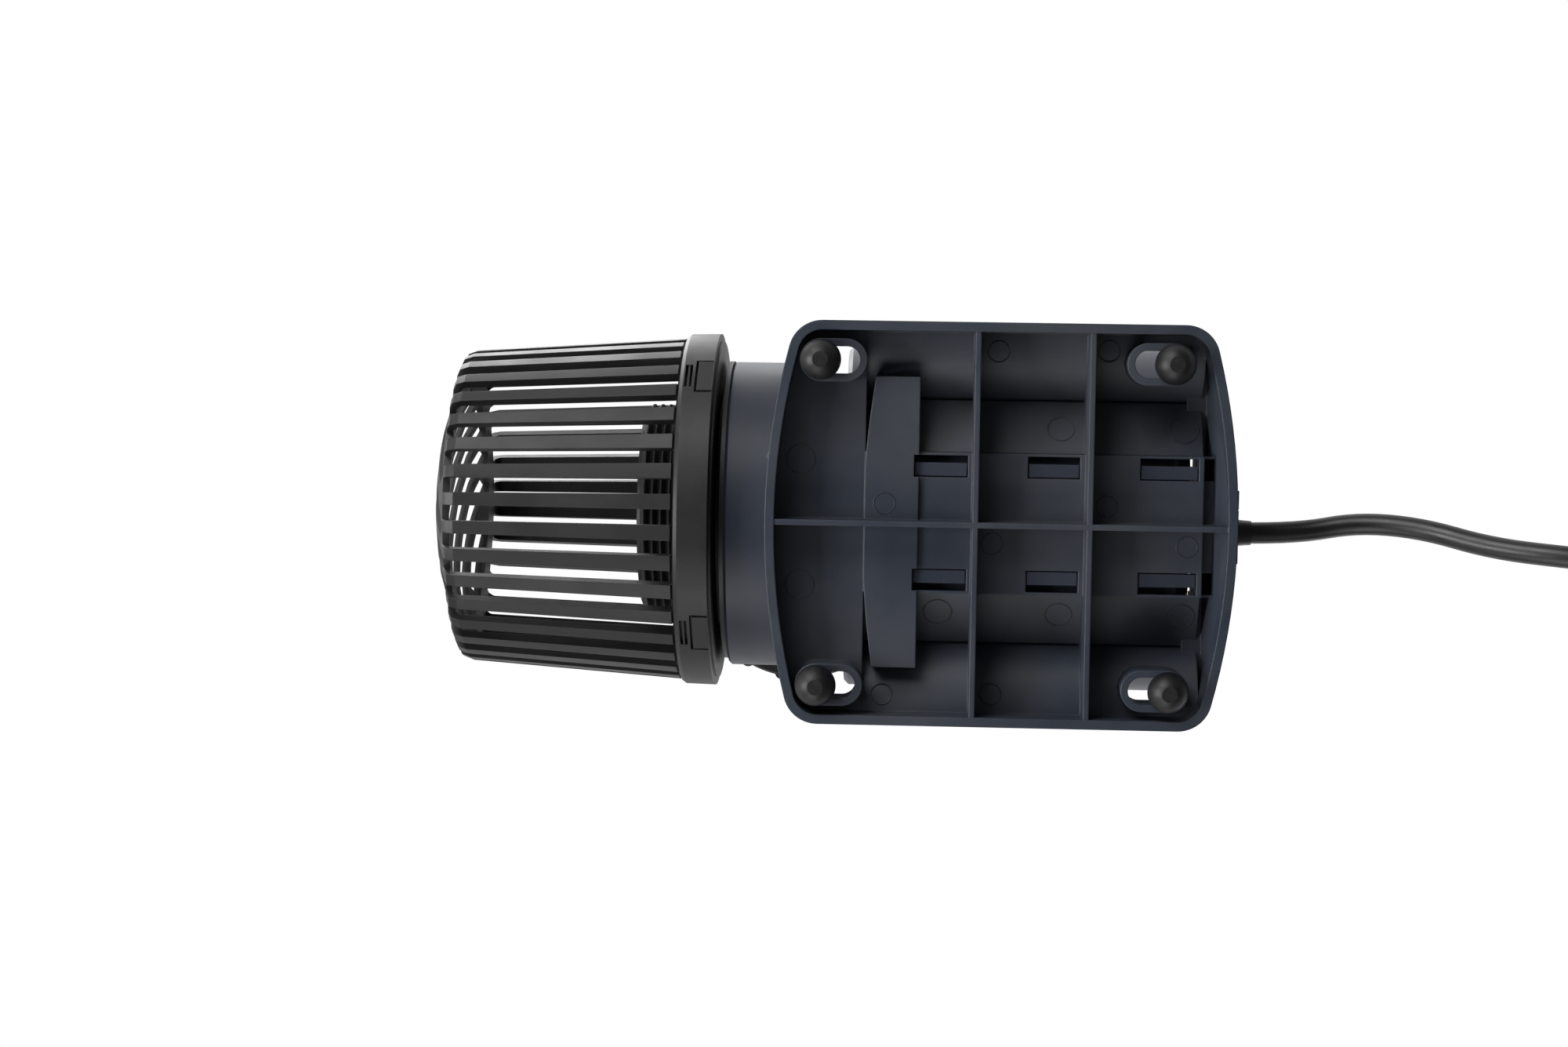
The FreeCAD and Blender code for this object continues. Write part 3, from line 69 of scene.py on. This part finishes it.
# --------------------------------------------------------------------------------------------------
# Finishes
# --------------------------------------------------------------------------------------------------
class Tree:
    """Small helper that adds and links the nodes of one material."""

    def __init__(self, name: str) -> None:
        """Start an empty node material.

        Args:
            name: Name of the material.
        """
        self.material = bpy.data.materials.new(name)
        self.material.use_nodes = True
        self.nodes = self.material.node_tree.nodes
        self.links = self.material.node_tree.links
        self.nodes.clear()

    def add(self, kind: str, **inputs: object) -> bpy.types.Node:
        """Add a node and fill its sockets.

        Args:
            kind: Blender's node type.
            **inputs: Socket values, or sockets to link, by lower-case name with underscores.

        Returns:
            The new node.
        """
        node = self.nodes.new(kind)
        named = {socket.name.lower().replace(" ", "_"): socket for socket in reversed(node.inputs)}
        for name, value in inputs.items():
            if isinstance(value, bpy.types.NodeSocket):
                self.links.new(value, named[name])
            else:
                named[name].default_value = value
        return node

    def noise(self, scale: float, detail: float = 2.0, rough: float = 0.5) -> bpy.types.NodeSocket:
        """Noise on object coordinates.

        Args:
            scale: Cells per metre.
            detail: Octaves.
            rough: Weight of the finer octaves.

        Returns:
            The noise value, around one half.
        """
        place = self.add("ShaderNodeTexCoord").outputs["Object"]
        node = self.add("ShaderNodeTexNoise", vector=place, scale=scale, detail=detail,
                        roughness=rough)
        return node.outputs[0]

    def spread(self, value: bpy.types.NodeSocket, low: float, high: float, to_low: float,
               to_high: float) -> bpy.types.NodeSocket:
        """Map a value's range onto another range.

        Args:
            value: Socket to map.
            low: Value that becomes to_low.
            high: Value that becomes to_high.
            to_low: Start of the new range.
            to_high: End of the new range.

        Returns:
            The mapped value.
        """
        node = self.add("ShaderNodeMapRange", value=value, from_min=low, from_max=high,
                        to_min=to_low, to_max=to_high)
        return node.outputs[0]

    def blend(self, factor: bpy.types.NodeSocket, first: Sequence[float],
              second: Sequence[float]) -> bpy.types.NodeSocket:
        """Colour between two colours.

        Args:
            factor: Nought gives the first colour, one the second.
            first: Red, green and blue.
            second: Red, green and blue.

        Returns:
            The mixed colour.
        """
        ramp = self.add("ShaderNodeValToRGB", fac=factor)
        ramp.color_ramp.elements[0].color = (*first, 1.0)
        ramp.color_ramp.elements[1].color = (*second, 1.0)
        return ramp.outputs["Color"]

    def finish(self, shader: bpy.types.Node) -> bpy.types.Material:
        """Connect the shader to the surface and return the material."""
        output = self.add("ShaderNodeOutputMaterial")
        self.links.new(shader.outputs[0], output.inputs["Surface"])
        return self.material


@dataclass(frozen=True)
class MouldedPlastic:
    """Injection-moulded plastic: a fine skin grain, faint flow marks and softened edges."""

    name: str
    dark: tuple[float, float, float]
    light: tuple[float, float, float]
    roughness: float
    roughness_spread: float = 0.07
    grain_scale: float = 1800.0
    grain_height: float = 0.03 * MM
    mottle_scale: float = 28.0
    edge_radius: float = 0.25 * MM
    edge_samples: int = 4
    specular: float = 0.5

    def material(self) -> bpy.types.Material:
        """Build the plastic.

        Returns:
            The node material.
        """
        tree = Tree(self.name)
        clouds = tree.noise(self.mottle_scale, 4.0, 0.6)
        grain = tree.noise(self.grain_scale, 3.0, 0.7)
        colour = tree.blend(tree.spread(clouds, 0.35, 0.65, 0.0, 1.0), self.dark, self.light)
        rough = tree.spread(clouds, 0.3, 0.7, self.roughness - self.roughness_spread,
                            self.roughness + self.roughness_spread)
        edge = tree.add("ShaderNodeBevel", radius=self.edge_radius)
        edge.samples = self.edge_samples
        bump = tree.add("ShaderNodeBump", strength=1.0, distance=self.grain_height, height=grain,
                        normal=edge.outputs[0])
        return tree.finish(tree.add("ShaderNodeBsdfPrincipled", base_color=colour, roughness=rough,
                                    specular_ior_level=self.specular, normal=bump.outputs[0]))


@dataclass(frozen=True)
class Rubber:
    """Dark rubber with a soft sheen, fine pores and a little dust."""

    name: str
    dark: tuple[float, float, float]
    dust: tuple[float, float, float]
    roughness: float
    dust_scale: float = 180.0
    pore_scale: float = 2600.0
    pore_height: float = 0.02 * MM
    edge_radius: float = 0.2 * MM
    gloss_spread: float = 0.06
    dust_spread: float = 0.1

    def material(self) -> bpy.types.Material:
        """Build the rubber.

        Returns:
            The node material.
        """
        tree = Tree(self.name)
        specks = tree.noise(self.dust_scale, 6.0, 0.7)
        colour = tree.blend(tree.spread(specks, 0.45, 0.75, 0.0, 1.0), self.dark, self.dust)
        rough = tree.spread(specks, 0.3, 0.7, self.roughness - self.gloss_spread,
                            self.roughness + self.dust_spread)
        edge = tree.add("ShaderNodeBevel", radius=self.edge_radius)
        bump = tree.add("ShaderNodeBump", strength=1.0, distance=self.pore_height,
                        height=tree.noise(self.pore_scale, 2.0), normal=edge.outputs[0])
        return tree.finish(tree.add("ShaderNodeBsdfPrincipled", base_color=colour, roughness=rough,
                                    normal=bump.outputs[0]))


@dataclass(frozen=True)
class Worked:
    """Metal, ceramic, resin or board: a base colour with fine variation."""

    name: str
    dark: tuple[float, float, float]
    light: tuple[float, float, float]
    roughness: float
    metallic: float = 0.0
    scale: float = 900.0
    smoother: float = 0.8
    rougher: float = 1.2
    texture_height: float = 0.01 * MM

    def material(self) -> bpy.types.Material:
        """Build the finish.

        Returns:
            The node material.
        """
        tree = Tree(self.name)
        fine = tree.noise(self.scale, 3.0, 0.6)
        colour = tree.blend(tree.spread(fine, 0.35, 0.65, 0.0, 1.0), self.dark, self.light)
        rough = tree.spread(fine, 0.3, 0.7, self.roughness * self.smoother,
                            self.roughness * self.rougher)
        bump = tree.add("ShaderNodeBump", strength=0.5, distance=self.texture_height, height=fine)
        return tree.finish(tree.add("ShaderNodeBsdfPrincipled", base_color=colour, roughness=rough,
                                    metallic=self.metallic, normal=bump.outputs[0]))


class Finish(Enum):
    """The finishes of the pump, by the record's material slot."""

    black_plastic = MouldedPlastic("black_plastic", (0.0040, 0.0040, 0.0045),
                                   (0.0075, 0.0075, 0.008), 0.50, grain_scale=1300.0,
                                   mottle_scale=40.0)
    casing_plastic = MouldedPlastic("casing_plastic", (0.018, 0.024, 0.040),
                                    (0.023, 0.029, 0.046), 0.5)
    base_plastic = MouldedPlastic("base_plastic", (0.023, 0.031, 0.048), (0.041, 0.046, 0.059),
                                  0.46, mottle_scale=22.0, edge_radius=0.5 * MM)
    foot_rubber = Rubber("foot_rubber", (0.005, 0.005, 0.006), (0.013, 0.013, 0.014), 0.50)
    seal_rubber = Rubber("seal_rubber", (0.010, 0.010, 0.010), (0.020, 0.020, 0.020), 0.6)
    cable_rubber = Rubber("cable_rubber", (0.008, 0.008, 0.009), (0.014, 0.014, 0.015), 0.36,
                          dust_scale=60.0)
    bush = Worked("bush", (0.74, 0.74, 0.70), (0.82, 0.82, 0.79), 0.3)
    impeller_plastic = MouldedPlastic("impeller_plastic", (0.62, 0.62, 0.59),
                                      (0.70, 0.70, 0.67), 0.4)
    magnet = Worked("magnet", (0.035, 0.035, 0.038), (0.055, 0.055, 0.06), 0.4, 0.6)
    core_steel = Worked("core_steel", (0.30, 0.30, 0.31), (0.42, 0.42, 0.43), 0.45, 1.0)
    coil_wire = Worked("coil_wire", (0.50, 0.22, 0.09), (0.66, 0.33, 0.14), 0.3, 1.0)
    board = Worked("board", (0.012, 0.10, 0.035), (0.018, 0.14, 0.05), 0.35)
    board_parts = Worked("board_parts", (0.02, 0.02, 0.022), (0.035, 0.035, 0.037), 0.45)
    resin = Worked("resin", (0.012, 0.012, 0.012), (0.02, 0.02, 0.02), 0.2)
    screw_steel = Worked("screw_steel", (0.48, 0.48, 0.48), (0.60, 0.60, 0.60), 0.3, 1.0)
    tie_plastic = MouldedPlastic("tie_plastic", (0.012, 0.012, 0.012), (0.02, 0.02, 0.02), 0.6)
    pin_brass = Worked("pin_brass", (0.62, 0.42, 0.14), (0.75, 0.54, 0.20), 0.25, 1.0)


# --------------------------------------------------------------------------------------------------
# Making pieces
# --------------------------------------------------------------------------------------------------
def clear_selection() -> None:
    """Leave edit mode and deselect everything."""
    if bpy.context.object and bpy.context.object.mode != "OBJECT":
        bpy.ops.object.mode_set(mode="OBJECT")
    bpy.ops.object.select_all(action="DESELECT")


def settle(piece: bpy.types.Object, name: str, smooth: float = 35.0) -> bpy.types.Object:
    """Name a finished piece, move its place into its mesh and smooth it.

    Args:
        piece: Object in place.
        name: Its final name.
        smooth: Faces that meet at less than this many degrees are shaded smooth.

    Returns:
        The same object.
    """
    clear_selection()
    piece.name = piece.data.name = name
    piece.select_set(True)
    bpy.context.view_layer.objects.active = piece
    bpy.ops.object.transform_apply(location=True, rotation=True, scale=True)
    bpy.ops.object.shade_smooth_by_angle(angle=math.radians(smooth))
    clear_selection()
    return piece


def give(piece: bpy.types.Object, finish: Finish, body: str,
         materials: dict[Finish, bpy.types.Material]) -> None:
    """Give a new piece its finish and its body.

    Args:
        piece: The piece.
        finish: Its finish.
        body: The body it rides on.
        materials: Materials by finish.
    """
    piece.data.materials.clear()
    piece.data.materials.append(materials[finish])
    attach(piece, body)
    LOG.info("%s rides on %s in %s", piece.name, body, finish.name)


def modify(piece: bpy.types.Object, kind: str, **settings: object) -> None:
    """Add a modifier and apply it at once.

    Args:
        piece: The object.
        kind: Blender's modifier type.
        **settings: Properties of the modifier.
    """
    clear_selection()
    piece.select_set(True)
    bpy.context.view_layer.objects.active = piece
    modifier = piece.modifiers.new(kind.lower(), kind)
    for name, value in settings.items():
        setattr(modifier, name, value)
    bpy.ops.object.modifier_apply(modifier=modifier.name)


def stacked(stations: Sequence[tuple[float, float]], y: float, z: float,
            sides: int = 48) -> bpy.types.Object:
    """Turned piece along X: one circle, extruded from station to station and resized.

    Args:
        stations: X and radius of each ring, in order.
        y: Y of the axis.
        z: Z of the axis.
        sides: Sides of the circle.

    Returns:
        The closed object.
    """
    clear_selection()
    x, radius = stations[0]
    bpy.ops.mesh.primitive_circle_add(vertices=sides, radius=radius, fill_type="NGON",
                                      location=(x, y, z), rotation=(0.0, math.pi / 2, 0.0))
    piece = bpy.context.object
    bpy.ops.object.mode_set(mode="EDIT")
    bpy.ops.mesh.select_all(action="SELECT")
    for next_x, next_radius in stations[1:]:
        bpy.ops.mesh.extrude_region_move(TRANSFORM_OT_translate={"value": (next_x - x, 0.0, 0.0)})
        scale = next_radius / radius
        bpy.ops.transform.resize(value=(1.0, scale, scale), center_override=(next_x, y, z))
        x, radius = next_x, next_radius
    bpy.ops.mesh.select_all(action="SELECT")
    bpy.ops.mesh.normals_make_consistent(inside=False)
    bpy.ops.object.mode_set(mode="OBJECT")
    return piece


# --------------------------------------------------------------------------------------------------
# Studio
# --------------------------------------------------------------------------------------------------
@dataclass
class Studio:
    """Camera, soft lights and a pale floor."""

    place: tuple[float, float, float] = (0.0183, -0.0375, -0.6739)
    right: tuple[float, float, float] = (0.99883, -0.01567, 0.04586)
    down: tuple[float, float, float] = (0.01818, 0.99833, -0.05480)
    forward: tuple[float, float, float] = (-0.04492, 0.05557, 0.99744)
    lens: float = 59.6
    sensor: float = 36.0
    floor_size: float = 14.0
    glow_below: float = 0.10
    glow_above: float = 0.9
    glow_start: float = -0.1
    glow_end: float = 0.5
    near_clip: float = 0.01
    floor_drop: float = 0.1 * MM
    floor_colour: tuple[float, float, float, float] = (0.82, 0.82, 0.83, 1.0)

    def camera(self) -> None:
        """Set up the camera under the pump, looking up at the base."""
        data = bpy.data.cameras.new("camera")
        data.lens, data.sensor_width, data.clip_start = self.lens, self.sensor, self.near_clip
        camera = bpy.data.objects.new("camera", data)
        across, down, ahead = Vector(self.right), Vector(self.down), Vector(self.forward)
        turn = Matrix((across, -down, -ahead)).transposed().to_4x4()
        camera.matrix_world = Matrix.Translation(self.place) @ turn
        bpy.context.scene.collection.objects.link(camera)
        bpy.context.scene.camera = camera

    def light(self, name: str, place: tuple[float, float, float], size: float, watts: float,
              target: tuple[float, float, float] = (0.03, 0.0, 0.05)) -> None:
        """Add one softbox that points at a target.

        Args:
            name: Name of the light.
            place: Its middle.
            size: Side of the square box.
            watts: Power.
            target: Point that it faces.
        """
        data = bpy.data.lights.new(name, "AREA")
        data.shape, data.size, data.energy = "SQUARE", size, watts
        lamp = bpy.data.objects.new(name, data)
        lamp.location = place
        lamp.rotation_euler = (Vector(target) - Vector(place)).to_track_quat("-Z", "Y").to_euler()
        bpy.context.scene.collection.objects.link(lamp)

    def lights(self) -> None:
        """Place the softboxes under and over the pump."""
        self.light("under_key", (-0.45, -0.80, -0.50), 0.60, 7.5)
        self.light("under_fill", (-0.25, 0.85, -0.50), 0.70, 4.2)
        self.light("under_left", (-1.0, 0.05, -0.55), 0.45, 12.0)
        self.light("over_key", (-0.6, -0.8, 1.1), 0.9, 18.0)
        self.light("over_fill", (0.9, 0.7, 0.9), 1.0, 9.0)

    def world(self) -> None:
        """White surroundings: bright above and behind the pump, dim below it."""
        world = bpy.data.worlds.new("studio")
        world.use_nodes = True
        nodes, links = world.node_tree.nodes, world.node_tree.links
        nodes.clear()
        shades = []
        for strength in (1.0, self.glow_below, self.glow_above):
            shade = nodes.new("ShaderNodeBackground")
            shade.inputs["Color"].default_value = (1.0, 1.0, 1.0, 1.0)
            shade.inputs["Strength"].default_value = strength
            shades.append(shade)
        seen, below, above = shades
        way, split = nodes.new("ShaderNodeTexCoord"), nodes.new("ShaderNodeSeparateXYZ")
        height = nodes.new("ShaderNodeMapRange")
        height.inputs["From Min"].default_value = self.glow_start
        height.inputs["From Max"].default_value = self.glow_end
        links.new(way.outputs["Generated"], split.inputs[0])
        links.new(split.outputs["Z"], height.inputs["Value"])
        glow, mix = nodes.new("ShaderNodeMixShader"), nodes.new("ShaderNodeMixShader")
        path, output = nodes.new("ShaderNodeLightPath"), nodes.new("ShaderNodeOutputWorld")
        links.new(height.outputs[0], glow.inputs[0])
        links.new(below.outputs[0], glow.inputs[1])
        links.new(above.outputs[0], glow.inputs[2])
        links.new(path.outputs["Is Camera Ray"], mix.inputs[0])
        links.new(glow.outputs[0], mix.inputs[1])
        links.new(seen.outputs[0], mix.inputs[2])
        links.new(mix.outputs[0], output.inputs["Surface"])
        bpy.context.scene.world = world

    def floor(self) -> None:
        """Pale floor that shows only from above, so that the underside stays in view."""
        clear_selection()
        bpy.ops.mesh.primitive_plane_add(size=self.floor_size,
                                         location=(0.0, 0.0, -self.floor_drop))
        plane = settle(bpy.context.object, "floor")
        tree = Tree("floor")
        pale = tree.add("ShaderNodeBsdfDiffuse", color=self.floor_colour)
        clear = tree.add("ShaderNodeBsdfTransparent")
        mix = tree.nodes.new("ShaderNodeMixShader")
        side = tree.add("ShaderNodeNewGeometry")
        tree.links.new(side.outputs["Backfacing"], mix.inputs[0])
        tree.links.new(pale.outputs[0], mix.inputs[1])
        tree.links.new(clear.outputs[0], mix.inputs[2])
        plane.data.materials.append(tree.finish(mix))
        plane.visible_shadow = plane.visible_diffuse = plane.visible_glossy = False

    def build(self) -> None:
        """Set up the whole studio."""
        self.camera()
        self.world()
        self.lights()
        self.floor()
        bpy.context.scene.view_settings.view_transform = "Standard"


# --------------------------------------------------------------------------------------------------
# Cable
# --------------------------------------------------------------------------------------------------
@dataclass
class PumpCable:
    """The low-voltage lead: a free run, a tied coil of what is left over, and its connector."""

    diameter: float = 5.9 * MM
    run: tuple[tuple[float, float, float], ...] = (
        (0.11375, 0.0025, 0.0390), (0.1270, 0.0023, 0.0391), (0.1420, -0.0010, 0.0366),
        (0.1580, -0.0002, 0.0290), (0.1740, 0.0042, 0.0184), (0.1910, 0.0056, 0.0076),
        (0.2070, 0.0067, 0.0034), (0.2220, 0.0075, 0.00355))
    tail: tuple[tuple[float, float, float], ...] = (
        (0.2290, 0.0101, 0.0206), (0.2400, 0.0163, 0.0182), (0.2510, 0.0220, 0.0140),
        (0.2625, 0.0268, 0.0108), (0.2750, 0.0296, 0.0096))
    coil_middle: tuple[float, float] = (0.2335, -0.0266)
    outer_turn: float = 34.1 * MM
    inner_turn: float = 28.1 * MM
    first_row: float = 3.55 * MM
    row_step: float = 5.9 * MM
    coil_angle: float = 2490.0
    shift_angle: float = 35.0
    lap: float = 320.0
    step: float = 15.0
    strap_corner: float = 2.4 * MM
    strap_wall: float = 0.7 * MM
    strap_edge: float = 0.15 * MM
    boot_ribs: int = 5
    boot_first: float = 4.1 * MM
    boot_groove: float = 0.7 * MM

    def coil(self) -> list[tuple[float, float, float]]:
        """Control points of the coil, wound in two columns and four rows.

        Returns:
            Points from the run's end to the start of the tail.
        """
        outer, inner = self.outer_turn, self.inner_turn
        columns = [outer, inner, inner, outer, outer, inner, inner, outer]
        rows = [0, 0, 1, 1, 2, 2, 3, 3]
        points = []
        travelled = self.step
        while travelled <= self.coil_angle:
            turn = min(int(travelled // self.lap), len(rows) - 1)
            progress = min((travelled - turn * self.lap) / self.shift_angle, 1.0) if turn else 1.0
            before = max(turn - 1, 0)
            radius = columns[before] + (columns[turn] - columns[before]) * progress
            row = rows[before] + (rows[turn] - rows[before]) * progress
            angle = math.radians(90.0 - travelled)
            points.append((self.coil_middle[0] + radius * math.cos(angle),
                           self.coil_middle[1] + radius * math.sin(angle),
                           self.first_row + self.row_step * row))
            travelled += self.step
        return points

    def build(self, materials: dict[Finish, bpy.types.Material]) -> None:
        """Args:
            materials: Materials by finish.
        """
        data = bpy.data.curves.new("pump_cable", "CURVE")
        data.dimensions = "3D"
        data.bevel_depth, data.bevel_resolution = self.diameter / 2, 5
        data.resolution_u, data.use_fill_caps = 6, True
        route = [*self.run, *self.coil(), *self.tail]
        spline = data.splines.new("NURBS")
        spline.points.add(len(route) - 1)
        for point, place in zip(spline.points, route):
            point.co = (*place, 1.0)
        spline.order_u = 3
        spline.use_endpoint_u = True
        cable = bpy.data.objects.new("pump_cable", data)
        bpy.context.scene.collection.objects.link(cable)
        give(cable, Finish.cable_rubber, HOUSING, materials)
        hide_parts("cord_run", "cord_coil", "cord_tail")
        tie = self.tie(materials)
        boot = self.boot(materials)

    def tie(self, materials: dict[Finish, bpy.types.Material]) -> bpy.types.Object:
        """Strap round the coil.

        Args:
            materials: Materials by finish.

        Returns:
            The strap.
        """
        low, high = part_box("coil_tie")
        middle, size = (low + high) / 2, high - low
        clear_selection()
        bpy.ops.mesh.primitive_cube_add(size=1.0, location=middle)
        strap = bpy.context.object
        strap.scale = size
        bpy.ops.object.transform_apply(location=True, rotation=True, scale=True)
        bpy.ops.object.mode_set(mode="EDIT")
        bpy.ops.mesh.select_mode(type="EDGE")
        bpy.ops.mesh.select_all(action="DESELECT")
        bpy.ops.object.mode_set(mode="OBJECT")
        for edge in strap.data.edges:
            first, second = (strap.data.vertices[index].co for index in edge.vertices)
            edge.select = abs(first.x - second.x) > size.x / 2
        bpy.ops.object.mode_set(mode="EDIT")
        bpy.ops.mesh.bevel(offset=self.strap_corner, segments=5)
        bpy.ops.mesh.select_mode(type="FACE")
        bpy.ops.mesh.select_all(action="DESELECT")
        bpy.ops.object.mode_set(mode="OBJECT")
        for face in strap.data.polygons:
            face.select = abs(face.normal.x) > 0.9
        bpy.ops.object.mode_set(mode="EDIT")
        bpy.ops.mesh.delete(type="FACE")
        bpy.ops.object.mode_set(mode="OBJECT")
        modify(strap, "SOLIDIFY", thickness=self.strap_wall, offset=-1.0)
        modify(strap, "BEVEL", width=self.strap_edge, segments=2)
        settle(strap, "coil_strap")
        give(strap, Finish.tie_plastic, HOUSING, materials)
        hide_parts("coil_tie")
        return strap

    def boot(self, materials: dict[Finish, bpy.types.Material]) -> bpy.types.Object:
        """Ribbed strain relief behind the connector.

        Args:
            materials: Materials by finish.

        Returns:
            The boot.
        """
        low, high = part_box("connector_boot")
        y, z = (low.y + high.y) / 2, (low.z + high.z) / 2
        start, end = low.x, high.x
        first, last = self.boot_first, (high.y - low.y) / 2
        stations = [(start, self.diameter / 2 + 0.2 * MM), (start + 0.2 * MM, first)]
        pitch = (end - start - 3.0 * MM) / self.boot_ribs
        for rib in range(self.boot_ribs):
            x = start + 0.6 * MM + rib * pitch
            radius = first + (last - first) * rib / self.boot_ribs
            stations += [(x + 0.45 * pitch, radius), (x + 0.55 * pitch, radius - self.boot_groove),
                         (x + 0.9 * pitch, radius - 0.6 * MM), (x + pitch, radius + 0.2 * MM)]
        stations += [(end - 0.3 * MM, last), (end, last - 0.3 * MM)]
        piece = settle(stacked(stations, y, z), "connector_strain_relief", 40.0)
        give(piece, Finish.cable_rubber, HOUSING, materials)
        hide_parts("connector_boot")
        return piece


# --------------------------------------------------------------------------------------------------
# Base plate
# --------------------------------------------------------------------------------------------------
@dataclass
class BaseDetail:
    """Marks of the mould on the underside of the base."""

    middle: float = 42.75 * MM
    large: float = 3.8 * MM
    medium: float = 3.5 * MM
    small: float = 2.8 * MM
    lift: float = 0.10 * MM
    line: float = 0.20 * MM
    gate_place: tuple[float, float, float] = (-0.0163, -0.0172, 0.0088)
    gate_radius: float = 1.0 * MM
    gate_height: float = 4.5 * MM
    gate_edge: float = 0.3 * MM
    marks: list[tuple[float, float, float]] = field(default_factory=list)

    def __post_init__(self) -> None:
        """List the ejector marks: X from the middle of the feet, Y and radius."""
        big, mid, small = self.large, self.medium, self.small
        self.marks = [(x * MM, y * MM, radius) for x, y, radius in (
            (-51.2, -16.4, big), (-51.1, 17.1, big), (-28.9, -5.1, small), (17.8, -25.3, mid),
            (50.4, -25.4, big), (0.7, -45.5, small), (29.8, -46.0, small), (29.9, -5.3, small),
            (-0.2, 5.4, small), (51.2, 5.3, small), (-14.2, 24.1, big), (18.1, 24.3, mid),
            (50.4, 24.1, big), (-28.8, 46.0, small), (0.2, 45.4, small))]

    def build(self, plate: bpy.types.Object, materials: dict[Finish, bpy.types.Material]) -> None:
        """Lay the ejector marks on the plate's underside.

        Args:
            plate: The base plate's CAD node.
            materials: Materials by finish.
        """
        made = []
        for x, y, radius in self.marks:
            start = Vector((self.middle + x, y, -0.05))
            hit, place, normal, _ = plate.ray_cast(start, Vector((0.0, 0.0, 1.0)))
            if hit:
                made.append(self.mark(place, normal, radius))
        clear_selection()
        for piece in made:
            piece.select_set(True)
        bpy.context.view_layer.objects.active = made[0]
        bpy.ops.object.join()
        piece = settle(bpy.context.object, "ejector_marks")
        give(piece, Finish.base_plastic, HOUSING, materials)
        self.gate(materials)

    def gate(self, materials: dict[Finish, bpy.types.Material]) -> None:
        """Small trimmed sprue on the front edge of the rim.

        Args:
            materials: Materials by finish.
        """
        clear_selection()
        bpy.ops.mesh.primitive_cylinder_add(vertices=24, radius=self.gate_radius,
                                            depth=self.gate_height, location=self.gate_place)
        modify(bpy.context.object, "BEVEL", width=self.gate_edge, segments=2)
        piece = settle(bpy.context.object, "gate_stub")
        give(piece, Finish.base_plastic, HOUSING, materials)

    def mark(self, place: Vector, normal: Vector, radius: float) -> bpy.types.Object:
        """One faint raised ring.

        Args:
            place: Middle of the mark on the surface.
            normal: The surface's direction there.
            radius: Radius of the mark.

        Returns:
            The mark, still at its own origin.
        """
        clear_selection()
        bpy.ops.mesh.primitive_torus_add(major_radius=radius, minor_radius=self.line,
                                         major_segments=40, minor_segments=8, location=place,
                                         rotation=normal.to_track_quat("Z", "Y").to_euler())
        ring = bpy.context.object
        ring.scale = (1.0, 1.0, self.lift / self.line)
        bpy.ops.object.transform_apply(location=True, rotation=True, scale=True)
        return ring


# --------------------------------------------------------------------------------------------------
# Pump
# --------------------------------------------------------------------------------------------------
@dataclass
class Pump:
    """The whole pump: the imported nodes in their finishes, and the pieces added to them."""

    nodes: dict[str, bpy.types.Object]
    slots: dict[str, str]
    cable: PumpCable = field(default_factory=PumpCable)
    base: BaseDetail = field(default_factory=BaseDetail)

    def dress(self, materials: dict[Finish, bpy.types.Material]) -> None:
        """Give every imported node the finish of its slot.

        Args:
            materials: Materials by finish.
        """
        for name, node in self.nodes.items():
            node.data.materials.clear()
            node.data.materials.append(materials[Finish[self.slots[name]]])
            LOG.info("%s in %s", name, self.slots[name])

    def build(self) -> None:
        """Make the finishes, dress the nodes and add the pieces."""
        materials = {finish: finish.value.material() for finish in Finish}
        self.dress(materials)
        self.cable.build(materials)
        self.base.build(self.nodes["base_plate"], materials)


def main() -> None:
    """Build the studio and the pump."""
    logging.basicConfig(level=logging.INFO, format="%(message)s")
    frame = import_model()
    Studio().build()
    slots = {entry["node"]: entry["material_slot"] for entry in frame["record"]["subparts"]}
    Pump(frame["nodes"], slots).build()


if __name__ == "__main__":
    main()
